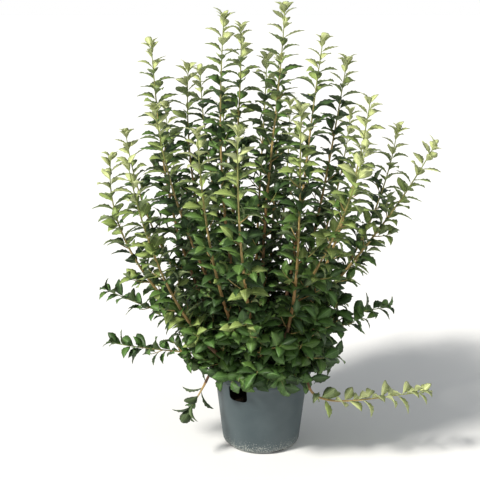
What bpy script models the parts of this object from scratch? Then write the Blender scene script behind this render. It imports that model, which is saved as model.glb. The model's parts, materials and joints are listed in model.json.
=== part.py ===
"""Potted nanking cherry: a young shrub of many canes in a round nursery pot.

The pot's underside is at z = 0 with its centre at the origin. The front is towards -Y.
Every cane leaves one short stool on the potting mix. Its lower part is a bough and its
leafy part is a mass of foliage, and each mass keeps to the space nearest its own stems.
"""
import math
import random

import bmesh
import bpy
import numpy as np

# Pot
POT_SIDES = 48
POT_HEIGHT = 0.2235
RIM_RADIUS = 0.140
LIP_HEIGHT = 0.016
LIP_ROLL = 0.0022
WALL_TOP_RADIUS = 0.1290
WALL_FOOT_RADIUS = 0.1055
WALL = 0.0022
FLOOR = 0.0028
FOOT_FILLET = 0.017
FILLET_STEPS = 4
GRIP_AZIMUTHS = (-31.5, 148.5)
GRIP_HALF_WIDTH = 0.0275
GRIP_LOW = 0.157
GRIP_HIGH = 0.2005
GRIP_CORNER = 0.012
DRAIN_AZIMUTHS = (26.0, 116.0, 206.0, 296.0)
DRAIN_HALF_WIDTH = 0.018
DRAIN_HEIGHT = 0.009

# Potting mix
MIX_TOP = 0.150
MIX_GAP = 0.0004
MIX_LUMP = 0.003
MIX_RINGS = (0.114, 0.100, 0.086, 0.072)
FLAT_RADIUS = 0.056

# Stool that all the canes leave
GAP = 0.0003
STOOL_SIDES = 15
STOOL_RINGS = (
    # height over the mix, radius, depth of the root lobes
    (0.000, 0.047, 0.20),
    (0.006, 0.039, 0.16),
    (0.018, 0.032, 0.10),
    (0.036, 0.028, 0.05),
    (0.054, 0.026, 0.02),
    (0.064, 0.019, 0.0),
    (0.069, 0.009, 0.0),
)
ROOT_LOBES = 5
LOBE_PHASE = 0.6
BARK_WAVE = 0.03
STOOL_LEAN = 0.05
HEAD_Z = 0.205
HEAD_RADIUS = 0.020
STUB_LENGTH = 0.045
STUB_SWELL = 1.18

# Limbs
PULL = 0.36
BOUGH_SHARE = 0.24
BOUGH_SIDES = 6
BOUGH_RINGS = 6
BOUGH_TAPER = 0.74
CANE_RADIUS = 0.0062
STEM_TIP_RADIUS = 0.0011
SIDE_STEM_SHARE = 0.62
SAMPLE_STEP = 0.005

# Leaves
GOLDEN_TURN = math.radians(137.5)
TURN_JITTER = math.radians(12)
LEAF_THICKNESS_SHARE = 1 / 45
LEAF_WIDEST = 0.46
LEAF_FOLD = 0.045
ROOT_SINK_SHARE = 0.3
TUFT_LEAVES = 2
TUFT_RISE = 0.48
TUFT_SCALE = 0.74
SPACE_MARGIN = 0.003
OVER_RIM = 0.006
OVER_MIX = 0.012
OVER_GROUND = 0.020
FLAT_SHOOT_LEAN = 0.35
FLAT_SHOOT_SQUASH = 0.35
FACE_UP = 1.4
LAST_LEAF = 0.004
TUFT_SEAT = 0.003
RISE_JITTER = 0.12
SIZE_JITTER = (0.9, 1.08)
SPACING_JITTER = (0.88, 1.12)
WELD_DISTANCE = 2e-7
MASS_TRIES = 8
SCALES = (1.0, 0.86, 0.72, 0.58)
TURNS = (0.0, 0.4, -0.4, 0.8, -0.8)

# Each cane: tip x, y, z, then degrees from upright where it leaves the stool and at the
# tip, and the degrees it sets off to the side of its tip's own direction.
CANES = {
    "left_tall": (-0.288, 0.050, 1.079, 44, 4, 3),
    "left_front": (-0.264, -0.150, 0.940, 28, 8, 4),
    "left_inner": (-0.196, 0.100, 1.019, 30, -4, 2),
    "centre_left": (-0.099, -0.020, 1.153, 15, -4, -1),
    "centre_back": (-0.056, 0.120, 1.120, 49, 2, 4),
    "front_left": (-0.157, -0.280, 0.898, 45, 6, 0),
    "front_centre": (-0.063, -0.360, 0.912, 38, -8, 0),
    "left_outer": (-0.388, -0.050, 0.804, 54, -8, 22),
    "left_second": (-0.324, -0.220, 0.816, 69, 10, 15),
    "tallest": (0.054, 0.000, 1.172, -8, 3, 1),
    "centre_behind": (0.014, 0.160, 1.044, 23, 25, 17),
    "right_inner": (0.148, -0.030, 1.095, 15, 8, 1),
    "right_tall": (0.224, 0.100, 1.035, 26, 10, -1),
    "right_mid": (0.264, -0.080, 0.949, 32, 7, -6),
    "right_front": (0.229, -0.260, 0.858, 21, 13, -2),
    "front_right": (0.084, -0.220, 0.944, 55, 1, 3),
    "right_outer": (0.441, -0.020, 0.830, 32, 26, 3),
    "back_left": (-0.270, 0.240, 0.900, 42, 6, 0),
    "back_centre_left": (-0.110, 0.340, 0.930, 38, 5, -2),
    "back_centre_right": (0.090, 0.360, 0.900, 43, 5, 0),
    "back_right": (0.260, 0.290, 0.880, 44, 7, 1),
    "right_behind": (0.370, 0.130, 0.850, 47, 8, 2),
    "left_behind": (-0.370, 0.130, 0.840, 50, 7, -2),
    "back_inner_right": (0.050, 0.250, 1.030, 24, 3, -1),
    "back_inner_left": (-0.170, 0.240, 1.000, 26, 3, 0),
}
CANES_WITHOUT_BOUGH = (
    "centre_behind",
    "back_left",
    "back_centre_left",
    "back_centre_right",
    "back_right",
    "right_behind",
    "left_behind",
    "back_inner_right",
    "back_inner_left",
)
STEM_RING_STEP = 0.075
LEAF_SPACING = 0.066
LEAF_LENGTH_LOW = 0.072
LEAF_LENGTH_HIGH = 0.064
LEAF_SLIMNESS = 0.48

# The leafy skirt round the pot's rim: one mass every so many degrees round the plant
SKIRT = {
    "skirt_front": -92,
    "skirt_front_left": -138,
    "skirt_front_right": -50,
    "skirt_right": -8,
    "skirt_back_right": 42,
    "skirt_back": 90,
    "skirt_back_left": 138,
    "skirt_left": 182,
}
SKIRT_REACH = 0.21
SKIRT_TIP_Z = 0.41
SKIRT_TILTS = (62, 25)
SKIRT_RADIUS = 0.0042
SKIRT_SIDE_TURNS = (-24, 24)
SKIRT_SIDE_STARTS = (0.52, 0.62)
SKIRT_SIDE_LENGTH = 0.125
SIDE_SCALES = (1.0, 0.8, 0.6, 0.45)
SIDE_CLEARANCE = 0.011
SIDE_TILTS = (80, 66, 70)
SIDE_SWERVE = 0.8
SKIRT_LEAF_SPACING = 0.034
SKIRT_LEAF = 0.074

# Low side shoots: tip x, y, z, degrees from upright at both ends, degrees to the side
LOW_SHOOTS = {
    "low_left_upper": (-0.409, -0.060, 0.454, 35, 62, 17),
    "low_left": (-0.389, -0.110, 0.325, 60, 72, -5),
    "low_right_upper": (0.326, -0.040, 0.398, 51, 81, 16),
}
LOW_RADIUS = 0.0036
LOW_LEAF_SPACING = 0.030
LOW_LEAF = 0.066

# Two shoots hang over the rim: the elbow outside the pot, then the shoot's own tip
HANGING = {
    "low_right_long": ((0.1245, -0.1245, 0.205), (0.423, -0.140, 0.197)),
    "rim_sprig": ((-0.151, -0.0906, 0.205), (-0.190, -0.110, 0.140)),
}
ELBOW_TILTS = (82, 150)
ELBOW_PULL = 0.75
SHOOT_PULL = 0.25
ELBOW_RINGS = 8
ELBOW_SWELL = 1.05
RIM_CLEARANCE = 0.016

BARK = (0.205, 0.120, 0.070)
GREEN_UPRIGHT = (0.105, 0.200, 0.052)
GREEN_SKIRT = (0.082, 0.170, 0.045)
GREEN_YOUNG = (0.230, 0.330, 0.110)
YOUNG_SHOOTS = ("low_right_long", "right_outer", "left_outer")


def clear_scene():
    for obj in list(bpy.data.objects):
        bpy.data.objects.remove(obj, do_unlink=True)


def material(name, colour, roughness, metallic=0.0):
    mat = bpy.data.materials.new(name)
    mat.use_nodes = True
    shader = mat.node_tree.nodes["Principled BSDF"]
    shader.inputs["Base Color"].default_value = (*colour, 1.0)
    shader.inputs["Roughness"].default_value = roughness
    shader.inputs["Metallic"].default_value = metallic
    mat.diffuse_color = (*colour, 1.0)
    return mat


def add_object(name, verts, faces, mat=None, smooth=False):
    mesh = bpy.data.meshes.new(name)
    mesh.from_pydata([tuple(map(float, v)) for v in verts], [], faces)
    mesh.validate()
    bm = bmesh.new()
    bm.from_mesh(mesh)
    bmesh.ops.recalc_face_normals(bm, faces=bm.faces)
    bm.to_mesh(mesh)
    bm.free()
    if mat:
        mesh.materials.append(mat)
    if smooth:
        mesh.polygons.foreach_set("use_smooth", [True] * len(mesh.polygons))
    obj = bpy.data.objects.new(name, mesh)
    bpy.context.scene.collection.objects.link(obj)
    return obj


def on_ring(radius, degrees, z):
    """A point round the pot's axis: 0 degrees is the front, growing to the right."""
    turn = math.radians(degrees)
    return np.array([radius * math.sin(turn), -radius * math.cos(turn), z])


def lathe(profile, sides, lumps=None):
    """Closed body from a profile that starts and ends on the axis."""
    verts = [(0.0, 0.0, profile[0][1])]
    for row, (radius, z) in enumerate(profile[1:-1]):
        for side in range(sides):
            lift = lumps[row][side] if lumps else 0.0
            verts.append(on_ring(radius, 360 * side / sides, z + lift))
    verts.append((0.0, 0.0, profile[-1][1]))
    rows = len(profile) - 2
    faces = []
    for side in range(sides):
        after = (side + 1) % sides
        faces.append((0, 1 + after, 1 + side))
        for row in range(rows - 1):
            low = 1 + row * sides
            high = low + sides
            faces.append((low + side, low + after, high + after, high + side))
        last = 1 + (rows - 1) * sides
        faces.append((last + side, last + after, len(verts) - 1))
    return verts, faces


def boolean(target, operand, operation, solver="EXACT"):
    cut = target.modifiers.new(operation.lower(), "BOOLEAN")
    cut.operation = operation
    cut.solver = solver
    if isinstance(operand, bpy.types.Collection):
        cut.operand_type = "COLLECTION"
        cut.collection = operand
    else:
        cut.object = operand
    graph = bpy.context.evaluated_depsgraph_get()
    mesh = bpy.data.meshes.new_from_object(target.evaluated_get(graph))
    target.modifiers.clear()
    old = target.data
    target.data = mesh
    bpy.data.meshes.remove(old)


def drop_scraps(mesh):
    """Keeps the largest connected body of a mass."""
    bm = bmesh.new()
    bm.from_mesh(mesh)
    left = set(bm.verts)
    bodies = []
    while left:
        body = [left.pop()]
        for vert in body:
            for edge in vert.link_edges:
                other = edge.other_vert(vert)
                if other in left:
                    left.remove(other)
                    body.append(other)
        bodies.append(body)
    bodies.sort(key=len)
    for body in bodies[:-1]:
        bmesh.ops.delete(bm, geom=body, context="VERTS")
    bm.to_mesh(mesh)
    bm.free()


def sound(mesh):
    """One closed body whose walls and gaps stay open when close points are welded."""
    bm = bmesh.new()
    bm.from_mesh(mesh)
    bmesh.ops.triangulate(bm, faces=bm.faces)
    bmesh.ops.remove_doubles(bm, verts=bm.verts, dist=WELD_DISTANCE)
    good = all(len(edge.link_faces) == 2 for edge in bm.edges)
    bm.free()
    return good


def wall_radius(z):
    return WALL_FOOT_RADIUS + (WALL_TOP_RADIUS - WALL_FOOT_RADIUS) * z / (POT_HEIGHT - LIP_HEIGHT)


def foot_arc(inset):
    """Rounded corner between underside and wall, moved in by the wall's thickness."""
    radius = FOOT_FILLET - inset
    centre = wall_radius(FOOT_FILLET) - FOOT_FILLET
    arc = []
    for step in range(FILLET_STEPS + 1):
        turn = math.pi / 2 * step / FILLET_STEPS
        arc.append((centre + radius * math.sin(turn), FOOT_FILLET - radius * math.cos(turn)))
    return arc


def prism_through_wall(outline, azimuth, inner, outer):
    """Outline of (sideways, height) points carried outwards through the pot's wall."""
    turn = math.radians(azimuth)
    out = np.array([math.sin(turn), -math.cos(turn), 0.0])
    side = np.array([math.cos(turn), math.sin(turn), 0.0])
    verts = []
    for reach in (inner, outer):
        for across, z in outline:
            verts.append(out * reach + side * across + np.array([0, 0, z]))
    count = len(outline)
    faces = [tuple(range(count)), tuple(range(2 * count - 1, count - 1, -1))]
    for at in range(count):
        after = (at + 1) % count
        faces.append((at, after, count + after, count + at))
    return verts, faces


def rounded_outline(half_width, low, high, corner, steps=4):
    outline = []
    for cx, cz, start in (
        (half_width - corner, low + corner, -90),
        (half_width - corner, high - corner, 0),
        (-half_width + corner, high - corner, 90),
        (-half_width + corner, low + corner, 180),
    ):
        for step in range(steps + 1):
            turn = math.radians(start + 90 * step / steps)
            outline.append((cx + corner * math.cos(turn), cz + corner * math.sin(turn)))
    return outline


def build_pot():
    lip_low = POT_HEIGHT - LIP_HEIGHT
    profile = [(0.0, 0.0)] + foot_arc(0.0)
    profile += [
        (wall_radius(lip_low), lip_low),
        (RIM_RADIUS - 0.0022, lip_low + 0.0006),
        (RIM_RADIUS - 0.0004, lip_low + 0.0050),
        (RIM_RADIUS, POT_HEIGHT - 0.0040),
        (RIM_RADIUS - 0.0007, POT_HEIGHT - 0.0010),
        (RIM_RADIUS - LIP_ROLL, POT_HEIGHT),
        (WALL_TOP_RADIUS + 0.0020, POT_HEIGHT),
        (WALL_TOP_RADIUS - 0.0002, POT_HEIGHT - 0.0015),
        (wall_radius(lip_low) - WALL, lip_low - 0.003),
    ]
    inner = [(radius, z) for radius, z in foot_arc(WALL)]
    profile += [(radius, max(z, FLOOR)) for radius, z in reversed(inner[1:])]
    profile += [(inner[0][0], FLOOR), (0.0, FLOOR)]
    mat = material("pot", (0.098, 0.128, 0.137), 0.62)
    pot = add_object("pot", *lathe(profile, POT_SIDES), mat, smooth=True)
    for azimuth in GRIP_AZIMUTHS:
        outline = rounded_outline(GRIP_HALF_WIDTH, GRIP_LOW, GRIP_HIGH, GRIP_CORNER)
        cutter = add_object("cutter", *prism_through_wall(outline, azimuth, 0.100, 0.160))
        boolean(pot, cutter, "DIFFERENCE")
        bpy.data.objects.remove(cutter, do_unlink=True)
    for azimuth in DRAIN_AZIMUTHS:
        outline = rounded_outline(DRAIN_HALF_WIDTH, -0.010, DRAIN_HEIGHT, 0.005)
        cutter = add_object("cutter", *prism_through_wall(outline, azimuth, 0.094, 0.130))
        boolean(pot, cutter, "DIFFERENCE")
        bpy.data.objects.remove(cutter, do_unlink=True)
    return pot


def build_potting_mix(rng):
    inner = foot_arc(WALL + MIX_GAP)
    low = FLOOR + MIX_GAP
    profile = [(0.0, low)]
    profile += [(radius, max(z, low)) for radius, z in inner[1:]]
    edge = wall_radius(MIX_TOP - 0.004) - WALL - MIX_GAP - 0.0003
    profile += [(edge, MIX_TOP - 0.004)]
    profile += [(radius, MIX_TOP) for radius in MIX_RINGS]
    profile += [(FLAT_RADIUS, MIX_TOP), (0.0, MIX_TOP)]
    rows = len(profile) - 2
    lumpy = range(rows - 1 - len(MIX_RINGS), rows - 1)
    lumps = []
    for row in range(rows):
        size = MIX_LUMP if row in lumpy else 0.0
        lumps.append([rng.uniform(-size, 0.5 * size) for _ in range(POT_SIDES)])
    mat = material("potting_mix", (0.035, 0.024, 0.017), 0.95)
    add_object("potting_mix", *lathe(profile, POT_SIDES, lumps), mat)


def unit(vector):
    return vector / np.linalg.norm(vector)


def tilted(azimuth, degrees):
    """Unit direction so many degrees from upright, towards an azimuth from +X."""
    tilt = math.radians(degrees)
    return np.array(
        [
            math.cos(azimuth) * math.sin(tilt),
            math.sin(azimuth) * math.sin(tilt),
            math.cos(tilt),
        ]
    )


def curve_between(start, start_way, end, end_way, pull=PULL):
    """Smooth path sampled at an even step."""
    reach = np.linalg.norm(end - start) * pull
    handles = (start, start + reach * start_way, end - reach * end_way, end)
    t = np.linspace(0, 1, 400)[:, None]
    path = (1 - t) ** 3 * handles[0] + 3 * (1 - t) ** 2 * t * handles[1]
    path += 3 * (1 - t) * t**2 * handles[2] + t**3 * handles[3]
    return even(path, SAMPLE_STEP)


def arc_lengths(path):
    steps = np.linalg.norm(np.diff(path, axis=0), axis=1)
    return np.concatenate([[0.0], np.cumsum(steps)])


def even(path, step):
    along = arc_lengths(path)
    count = max(int(round(along[-1] / step)), 2) + 1
    wanted = np.linspace(0, along[-1], count)
    return np.stack([np.interp(wanted, along, path[:, k]) for k in range(3)], axis=1)


def between(path, start, end, step=SAMPLE_STEP):
    """Part of a path from one arc length to another."""
    along = arc_lengths(path)
    count = max(int(round((end - start) / step)), 1) + 1
    wanted = np.linspace(start, end, count)
    return np.stack([np.interp(wanted, along, path[:, k]) for k in range(3)], axis=1)


def cane_path(tip, tilt_low, tilt_high, turn):
    """Path of a limb from inside the stool's head to its tip."""
    tip = np.array(tip, dtype=float)
    azimuth = math.atan2(tip[1], tip[0])
    base = azimuth + math.radians(turn)
    start = np.array([math.cos(base) * HEAD_RADIUS, math.sin(base) * HEAD_RADIUS, HEAD_Z])
    return curve_between(start, tilted(base, tilt_low), tip, tilted(azimuth, tilt_high))


def ways_along(path, wanted):
    """Direction of a path at some arc lengths."""
    along = arc_lengths(path)
    before = np.clip(np.asarray(wanted) - SAMPLE_STEP, 0, along[-1] - 2 * SAMPLE_STEP)
    ends = [
        np.stack([np.interp(spots, along, path[:, k]) for k in range(3)], axis=1)
        for spots in (before, before + 2 * SAMPLE_STEP)
    ]
    ways = ends[1] - ends[0]
    return ways / np.linalg.norm(ways, axis=1)[:, None]


def frames(path, tangents=None):
    """Tangent and two side directions at each point, without twist."""
    if tangents is None:
        tangents = np.gradient(path, axis=0)
        tangents /= np.linalg.norm(tangents, axis=1)[:, None]
    side = np.cross(tangents[0], [0.31, 0.95, 0.05])
    sides = []
    for tangent in tangents:
        side = unit(side - tangent * side.dot(tangent))
        sides.append(side)
    sides = np.array(sides)
    return tangents, sides, np.cross(tangents, sides)


def tube(path, radii, sides, ways=None):
    tangents, across, over = frames(path, ways)
    verts = []
    for point, radius, a, b in zip(path, radii, across, over):
        for side in range(sides):
            turn = 2 * math.pi * side / sides
            verts.append(point + radius * (math.cos(turn) * a + math.sin(turn) * b))
    faces = [tuple(range(sides - 1, -1, -1))]
    rings = len(path)
    for ring in range(rings - 1):
        for side in range(sides):
            after = (side + 1) % sides
            low = ring * sides
            high = low + sides
            faces.append((low + side, low + after, high + after, high + side))
    faces.append(tuple(range((rings - 1) * sides, rings * sides)))
    return verts, faces


def leaf_points(root, way, face, length, slimness):
    """Eight-faced leaf: root, tip, both edges, and the middle above and below."""
    side = unit(np.cross(way, face))
    face = np.cross(side, way)
    width = length * slimness / 2
    arch = 0.11 * length
    middle = root + way * length * LEAF_WIDEST + face * arch
    thick = face * length * LEAF_THICKNESS_SHARE / 2
    tip = root + way * length - face * 0.05 * length
    edge = face * LEAF_FOLD * length
    left = middle + side * width + edge
    right = middle - side * width + edge
    return np.array([root, tip, left, right, middle + thick, middle - thick])


CANE_RISES = (math.radians(24), math.radians(40))
SKIRT_RISES = (math.radians(20), math.radians(32))
LOW_RISES = (math.radians(30), math.radians(40))
BARE_SHARE = 0.26
SKIRT_BARE_SHARE = 0.42
LOW_BARE_SHARE = 0.38
FIRST_LEAF = 0.010
SIDE_FIRST_LEAF = 0.018
HANGING_FIRST_LEAF = 0.020
SKIRT_TIP_SIZE = 0.9
LOW_TIP_SIZE = 0.8
SPRIG_LENGTH = 0.10
SPRIG_SPACING = 0.014

LEAF_FACES = [
    (0, 2, 4),
    (2, 1, 4),
    (1, 3, 4),
    (3, 0, 4),
    (2, 0, 5),
    (1, 2, 5),
    (3, 1, 5),
    (0, 3, 5),
]


def leaf_probe(points):
    """Places on a leaf, beyond its root, that are tried against the other limbs."""
    root, tip, left, right, top, _ = points
    probe = [tip, left, right, top]
    probe += [(tip + left) / 2, (tip + right) / 2, (left + top) / 2, (right + top) / 2]
    probe += [(tip + top) / 2, (root + left) / 2, (root + right) / 2]
    probe += [0.75 * tip + 0.25 * left, 0.75 * tip + 0.25 * right]
    return np.array(probe)


class Limb:
    """One mass of foliage: its main stem, its side stems and its bough, if any."""

    def __init__(self, name, path, radius, bough_end, kind):
        self.name = name
        self.path = path
        self.length = arc_lengths(path)[-1]
        self.radius = radius
        self.bough_end = bough_end
        self.kind = kind
        self.sides = []
        self.elbow_path = None

    def radius_at(self, along):
        share = along / self.length
        if self.bough_end:
            end = self.bough_end / self.length
            if share <= end:
                return self.radius * (1 - (1 - BOUGH_TAPER) * share / end)
            low = self.radius * BOUGH_TAPER * 0.94
            return low + (STEM_TIP_RADIUS - low) * (share - end) / (1 - end)
        return self.radius + (STEM_TIP_RADIUS - self.radius) * share**0.8


def all_limbs():
    limbs = []
    for name, (x, y, z, low, high, turn) in CANES.items():
        path = cane_path((x, y, z), low, high, turn)
        length = arc_lengths(path)[-1]
        end = 0.0 if name in CANES_WITHOUT_BOUGH else STUB_LENGTH + BOUGH_SHARE * length
        limbs.append(Limb(name, path, CANE_RADIUS, end, "cane"))
    for name, degrees in SKIRT.items():
        turn = math.radians(degrees)
        tip = (SKIRT_REACH * math.cos(turn), SKIRT_REACH * math.sin(turn), SKIRT_TIP_Z)
        path = cane_path(tip, *SKIRT_TILTS, 0)
        limbs.append(Limb(name, path, SKIRT_RADIUS, 0.0, "skirt"))
    for name, (x, y, z, low, high, turn) in LOW_SHOOTS.items():
        path = cane_path((x, y, z), low, high, turn)
        limbs.append(Limb(name, path, LOW_RADIUS, 0.0, "low"))
    for name, (elbow, tip) in HANGING.items():
        elbow = np.array(elbow)
        tip = np.array(tip)
        over = math.atan2(elbow[1], elbow[0])
        start = np.array([math.cos(over) * HEAD_RADIUS, math.sin(over) * HEAD_RADIUS, HEAD_Z])
        first = curve_between(start, tilted(over, ELBOW_TILTS[0]), elbow,
                              tilted(over, ELBOW_TILTS[1]), ELBOW_PULL)
        way = unit(tip - elbow)
        down = tilted(over, ELBOW_TILTS[1])
        second = curve_between(elbow, down, tip, way, SHOOT_PULL)
        limb = Limb(name, second, LOW_RADIUS, 0.0, "hanging")
        limb.elbow_path = first
        limbs.append(limb)
    return limbs


def build_side_stems(limbs):
    """Side stems of the skirt's masses, which fan out on both sides of the main stem.

    A side stem that comes near another limb is made shorter or turned back."""
    for limb in limbs:
        if limb.kind != "skirt":
            continue
        along = arc_lengths(limb.path)
        others = [other.path for other in limbs if other is not limb]
        others += [other.elbow_path for other in limbs if other.elbow_path is not None]
        others += [side for other in limbs if other is not limb for side in other.sides]
        others = np.concatenate(others)
        for turn, share in zip(SKIRT_SIDE_TURNS, SKIRT_SIDE_STARTS):
            place = share * limb.length
            start = np.array([np.interp(place, along, limb.path[:, k]) for k in range(3)])
            tangent = ways_along(limb.path, [place])[0]
            for scale in SIDE_SCALES:
                swing = math.radians(turn) * scale
                azimuth = math.atan2(start[1], start[0]) + swing
                end = start + SKIRT_SIDE_LENGTH * scale * tilted(azimuth + swing, SIDE_TILTS[1])
                way = unit(tangent + SIDE_SWERVE * tilted(azimuth + 2 * swing, SIDE_TILTS[0]))
                side = curve_between(start, way, end, tilted(azimuth, SIDE_TILTS[2]))
                gaps = np.linalg.norm(side[:, None] - others[None], axis=2)
                if gaps.min() > SIDE_CLEARANCE:
                    limb.sides.append(side)
                    break


class Spaces:
    """Which limb each place is nearest, and how far the pot and stool reach."""

    def __init__(self, limbs):
        points = []
        owners = []
        for index, limb in enumerate(limbs):
            paths = [limb.path] + limb.sides
            if limb.elbow_path is not None:
                paths.append(limb.elbow_path)
            for path in paths:
                points.append(path)
                owners.append(np.full(len(path), index))
        self.points = np.concatenate(points)
        self.owners = np.concatenate(owners)

    def fits(self, index, limb, probe):
        if not clear_of_pot(probe):
            return False
        gaps = np.linalg.norm(probe[:, None] - self.points[None], axis=2)
        own = gaps[:, self.owners == index].min(axis=1)
        other = gaps[:, self.owners != index].min(axis=1)
        if np.any(own + SPACE_MARGIN > other):
            return False
        if limb.bough_end:
            bare = between(limb.path, 0.0, limb.bough_end)
        elif limb.elbow_path is not None:
            bare = limb.elbow_path
        else:
            return True
        return np.linalg.norm(probe[:, None] - bare[None], axis=2).min() > 2 * limb.radius


def clear_of_pot(probe):
    reach = np.hypot(probe[:, 0], probe[:, 1])
    height = probe[:, 2]
    over_rim = height > POT_HEIGHT + OVER_RIM
    outside = (reach > RIM_RADIUS + RIM_CLEARANCE) & (height > OVER_GROUND)
    inside = (reach < WALL_FOOT_RADIUS) & (height > MIX_TOP + OVER_MIX)
    off_stool = (reach > FLAT_RADIUS) | (height > POT_HEIGHT)
    return bool(np.all((over_rim | outside | inside) & off_stool))


def leaf_directions(tangent, across, over, turn, rise):
    """Way a leaf grows and the way its upper face looks."""
    radial = math.cos(turn) * across + math.sin(turn) * over
    lean = 1.0 - abs(tangent[2])
    if lean > FLAT_SHOOT_LEAN:
        radial = radial * np.array([1, 1, FLAT_SHOOT_SQUASH])
        radial = unit(radial - tangent * radial.dot(tangent))
    way = unit(math.cos(rise) * radial + math.sin(rise) * tangent)
    face = tangent + np.array([0, 0, FACE_UP * lean])
    return way, unit(face - way * face.dot(way))


def leaves_along(index, limb, spaces, path, thickness, start, spacing, sizes, rises, rng):
    """Leaves set round a stem by the golden turn, skipped where they don't fit."""
    tangents, across, over = frames(path)
    along = arc_lengths(path)
    turn = rng.uniform(0, 2 * math.pi)
    place = start
    leaves = []
    while place < along[-1] - LAST_LEAF:
        share = (place - start) / max(along[-1] - start, 1e-6)
        root, tangent, side, up = on_stem(path, along, (tangents, across, over), place)
        turn += GOLDEN_TURN + rng.uniform(-TURN_JITTER, TURN_JITTER)
        size = sizes[0] + (sizes[1] - sizes[0]) * share
        rise = rises[0] + (rises[1] - rises[0]) * share + rng.uniform(-RISE_JITTER, RISE_JITTER)
        size *= rng.uniform(*SIZE_JITTER)
        sink = ROOT_SINK_SHARE * thickness(place / along[-1])
        leaf = fitted_leaf(index, limb, spaces, (root, sink), (tangent, side, up), turn,
                           rise, size)
        if leaf is not None:
            leaves.append(leaf)
        place += spacing * rng.uniform(*SPACING_JITTER)
    root, tangent, side, up = on_stem(path, along, (tangents, across, over),
                                      along[-1] - TUFT_SEAT)
    sink = ROOT_SINK_SHARE * thickness(1.0)
    for tuft in range(TUFT_LEAVES):
        turn += 2 * math.pi / TUFT_LEAVES
        rise = rises[1] + TUFT_RISE
        leaf = fitted_leaf(index, limb, spaces, (root, sink), (tangent, side, up), turn,
                           rise, sizes[1] * TUFT_SCALE)
        if leaf is not None:
            leaves.append(leaf)
    return leaves


def on_stem(path, along, axes, place):
    """Place and axes on the stem's own straight pieces, so that a root lies inside it."""
    spot = [np.interp(place, along, path[:, k]) for k in range(3)]
    turned = [unit(np.array([np.interp(place, along, axis[:, k]) for k in range(3)]))
              for axis in axes]
    return np.array(spot), *turned


def fitted_leaf(index, limb, spaces, seat, axes, turn, rise, size):
    """The largest of a few sizes and turns of a leaf that keeps to its mass's space."""
    root, sink = seat
    for scale in SCALES:
        for shift in TURNS:
            way, face = leaf_directions(*axes, turn + shift, rise)
            points = leaf_points(root - way * sink, way, face, size * scale, LEAF_SLIMNESS)
            if spaces.fits(index, limb, leaf_probe(points)):
                return points
    return None


def mass_leaves(index, limb, spaces, rng):
    first = stem_start(limb)
    stem = coarse(limb.path, first, limb.length)

    def main_stem(share):
        return limb.radius_at(first + share * (limb.length - first))

    def side_stem(share):
        return (1 - share) * SIDE_STEM_SHARE * limb.radius + share * STEM_TIP_RADIUS

    if limb.kind == "cane":
        start = FIRST_LEAF if limb.bough_end else BARE_SHARE * limb.length - first
        return leaves_along(index, limb, spaces, stem, main_stem, start, LEAF_SPACING,
                            (LEAF_LENGTH_LOW, LEAF_LENGTH_HIGH), CANE_RISES, rng)
    if limb.kind == "skirt":
        sizes = (SKIRT_LEAF, SKIRT_TIP_SIZE * SKIRT_LEAF)
        start = SKIRT_BARE_SHARE * limb.length - first
        leaves = leaves_along(index, limb, spaces, stem, main_stem, start,
                              SKIRT_LEAF_SPACING, sizes, SKIRT_RISES, rng)
        for path in limb.sides:
            side = coarse(path, 0.0, arc_lengths(path)[-1])
            leaves += leaves_along(index, limb, spaces, side, side_stem, SIDE_FIRST_LEAF,
                                   SKIRT_LEAF_SPACING, sizes, SKIRT_RISES, rng)
        return leaves
    start = LOW_BARE_SHARE * limb.length - first
    if limb.kind == "hanging":
        start = HANGING_FIRST_LEAF
    spacing = SPRIG_SPACING if limb.length < SPRIG_LENGTH else LOW_LEAF_SPACING
    return leaves_along(index, limb, spaces, stem, main_stem, start, spacing,
                        (LOW_LEAF, LOW_TIP_SIZE * LOW_LEAF), LOW_RISES, rng)


def tube_along(path, start, end, rings, radii, sides):
    """Tube whose end faces stand square to the smooth path, as its neighbour's do."""
    places = np.linspace(start, end, rings)
    part = between(path, start, end, (end - start) / (rings - 1))
    radii = np.interp(np.linspace(0, 1, rings), np.linspace(0, 1, len(radii)), radii)
    return tube(part, radii, sides, ways_along(path, places))


def stem_start(limb):
    """How far along its path a mass's own stem starts, clear of its bough or stool."""
    if limb.bough_end:
        return limb.bough_end + GAP
    return GAP if limb.elbow_path is not None else STUB_LENGTH + GAP


def ring_count(start, end):
    return max(int((end - start) / STEM_RING_STEP), 2) + 1


def coarse(path, start, end):
    """The straight pieces that a three-sided stem is made of."""
    return between(path, start, end, (end - start) / (ring_count(start, end) - 1))


def build_mass(index, limb, spaces, colour):
    """Joins a mass into one body, with other draws where a join leaves a seam."""
    mat = material("foliage_" + limb.name, colour, 0.55)
    for attempt in range(MASS_TRIES):
        rng = random.Random(100 + index + 1000 * attempt)
        stem, leaves = joined_mass(index, limb, spaces, mat, rng)
        if sound(stem.data) or attempt == MASS_TRIES - 1:
            return leaves
        bpy.data.objects.remove(stem, do_unlink=True)


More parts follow.
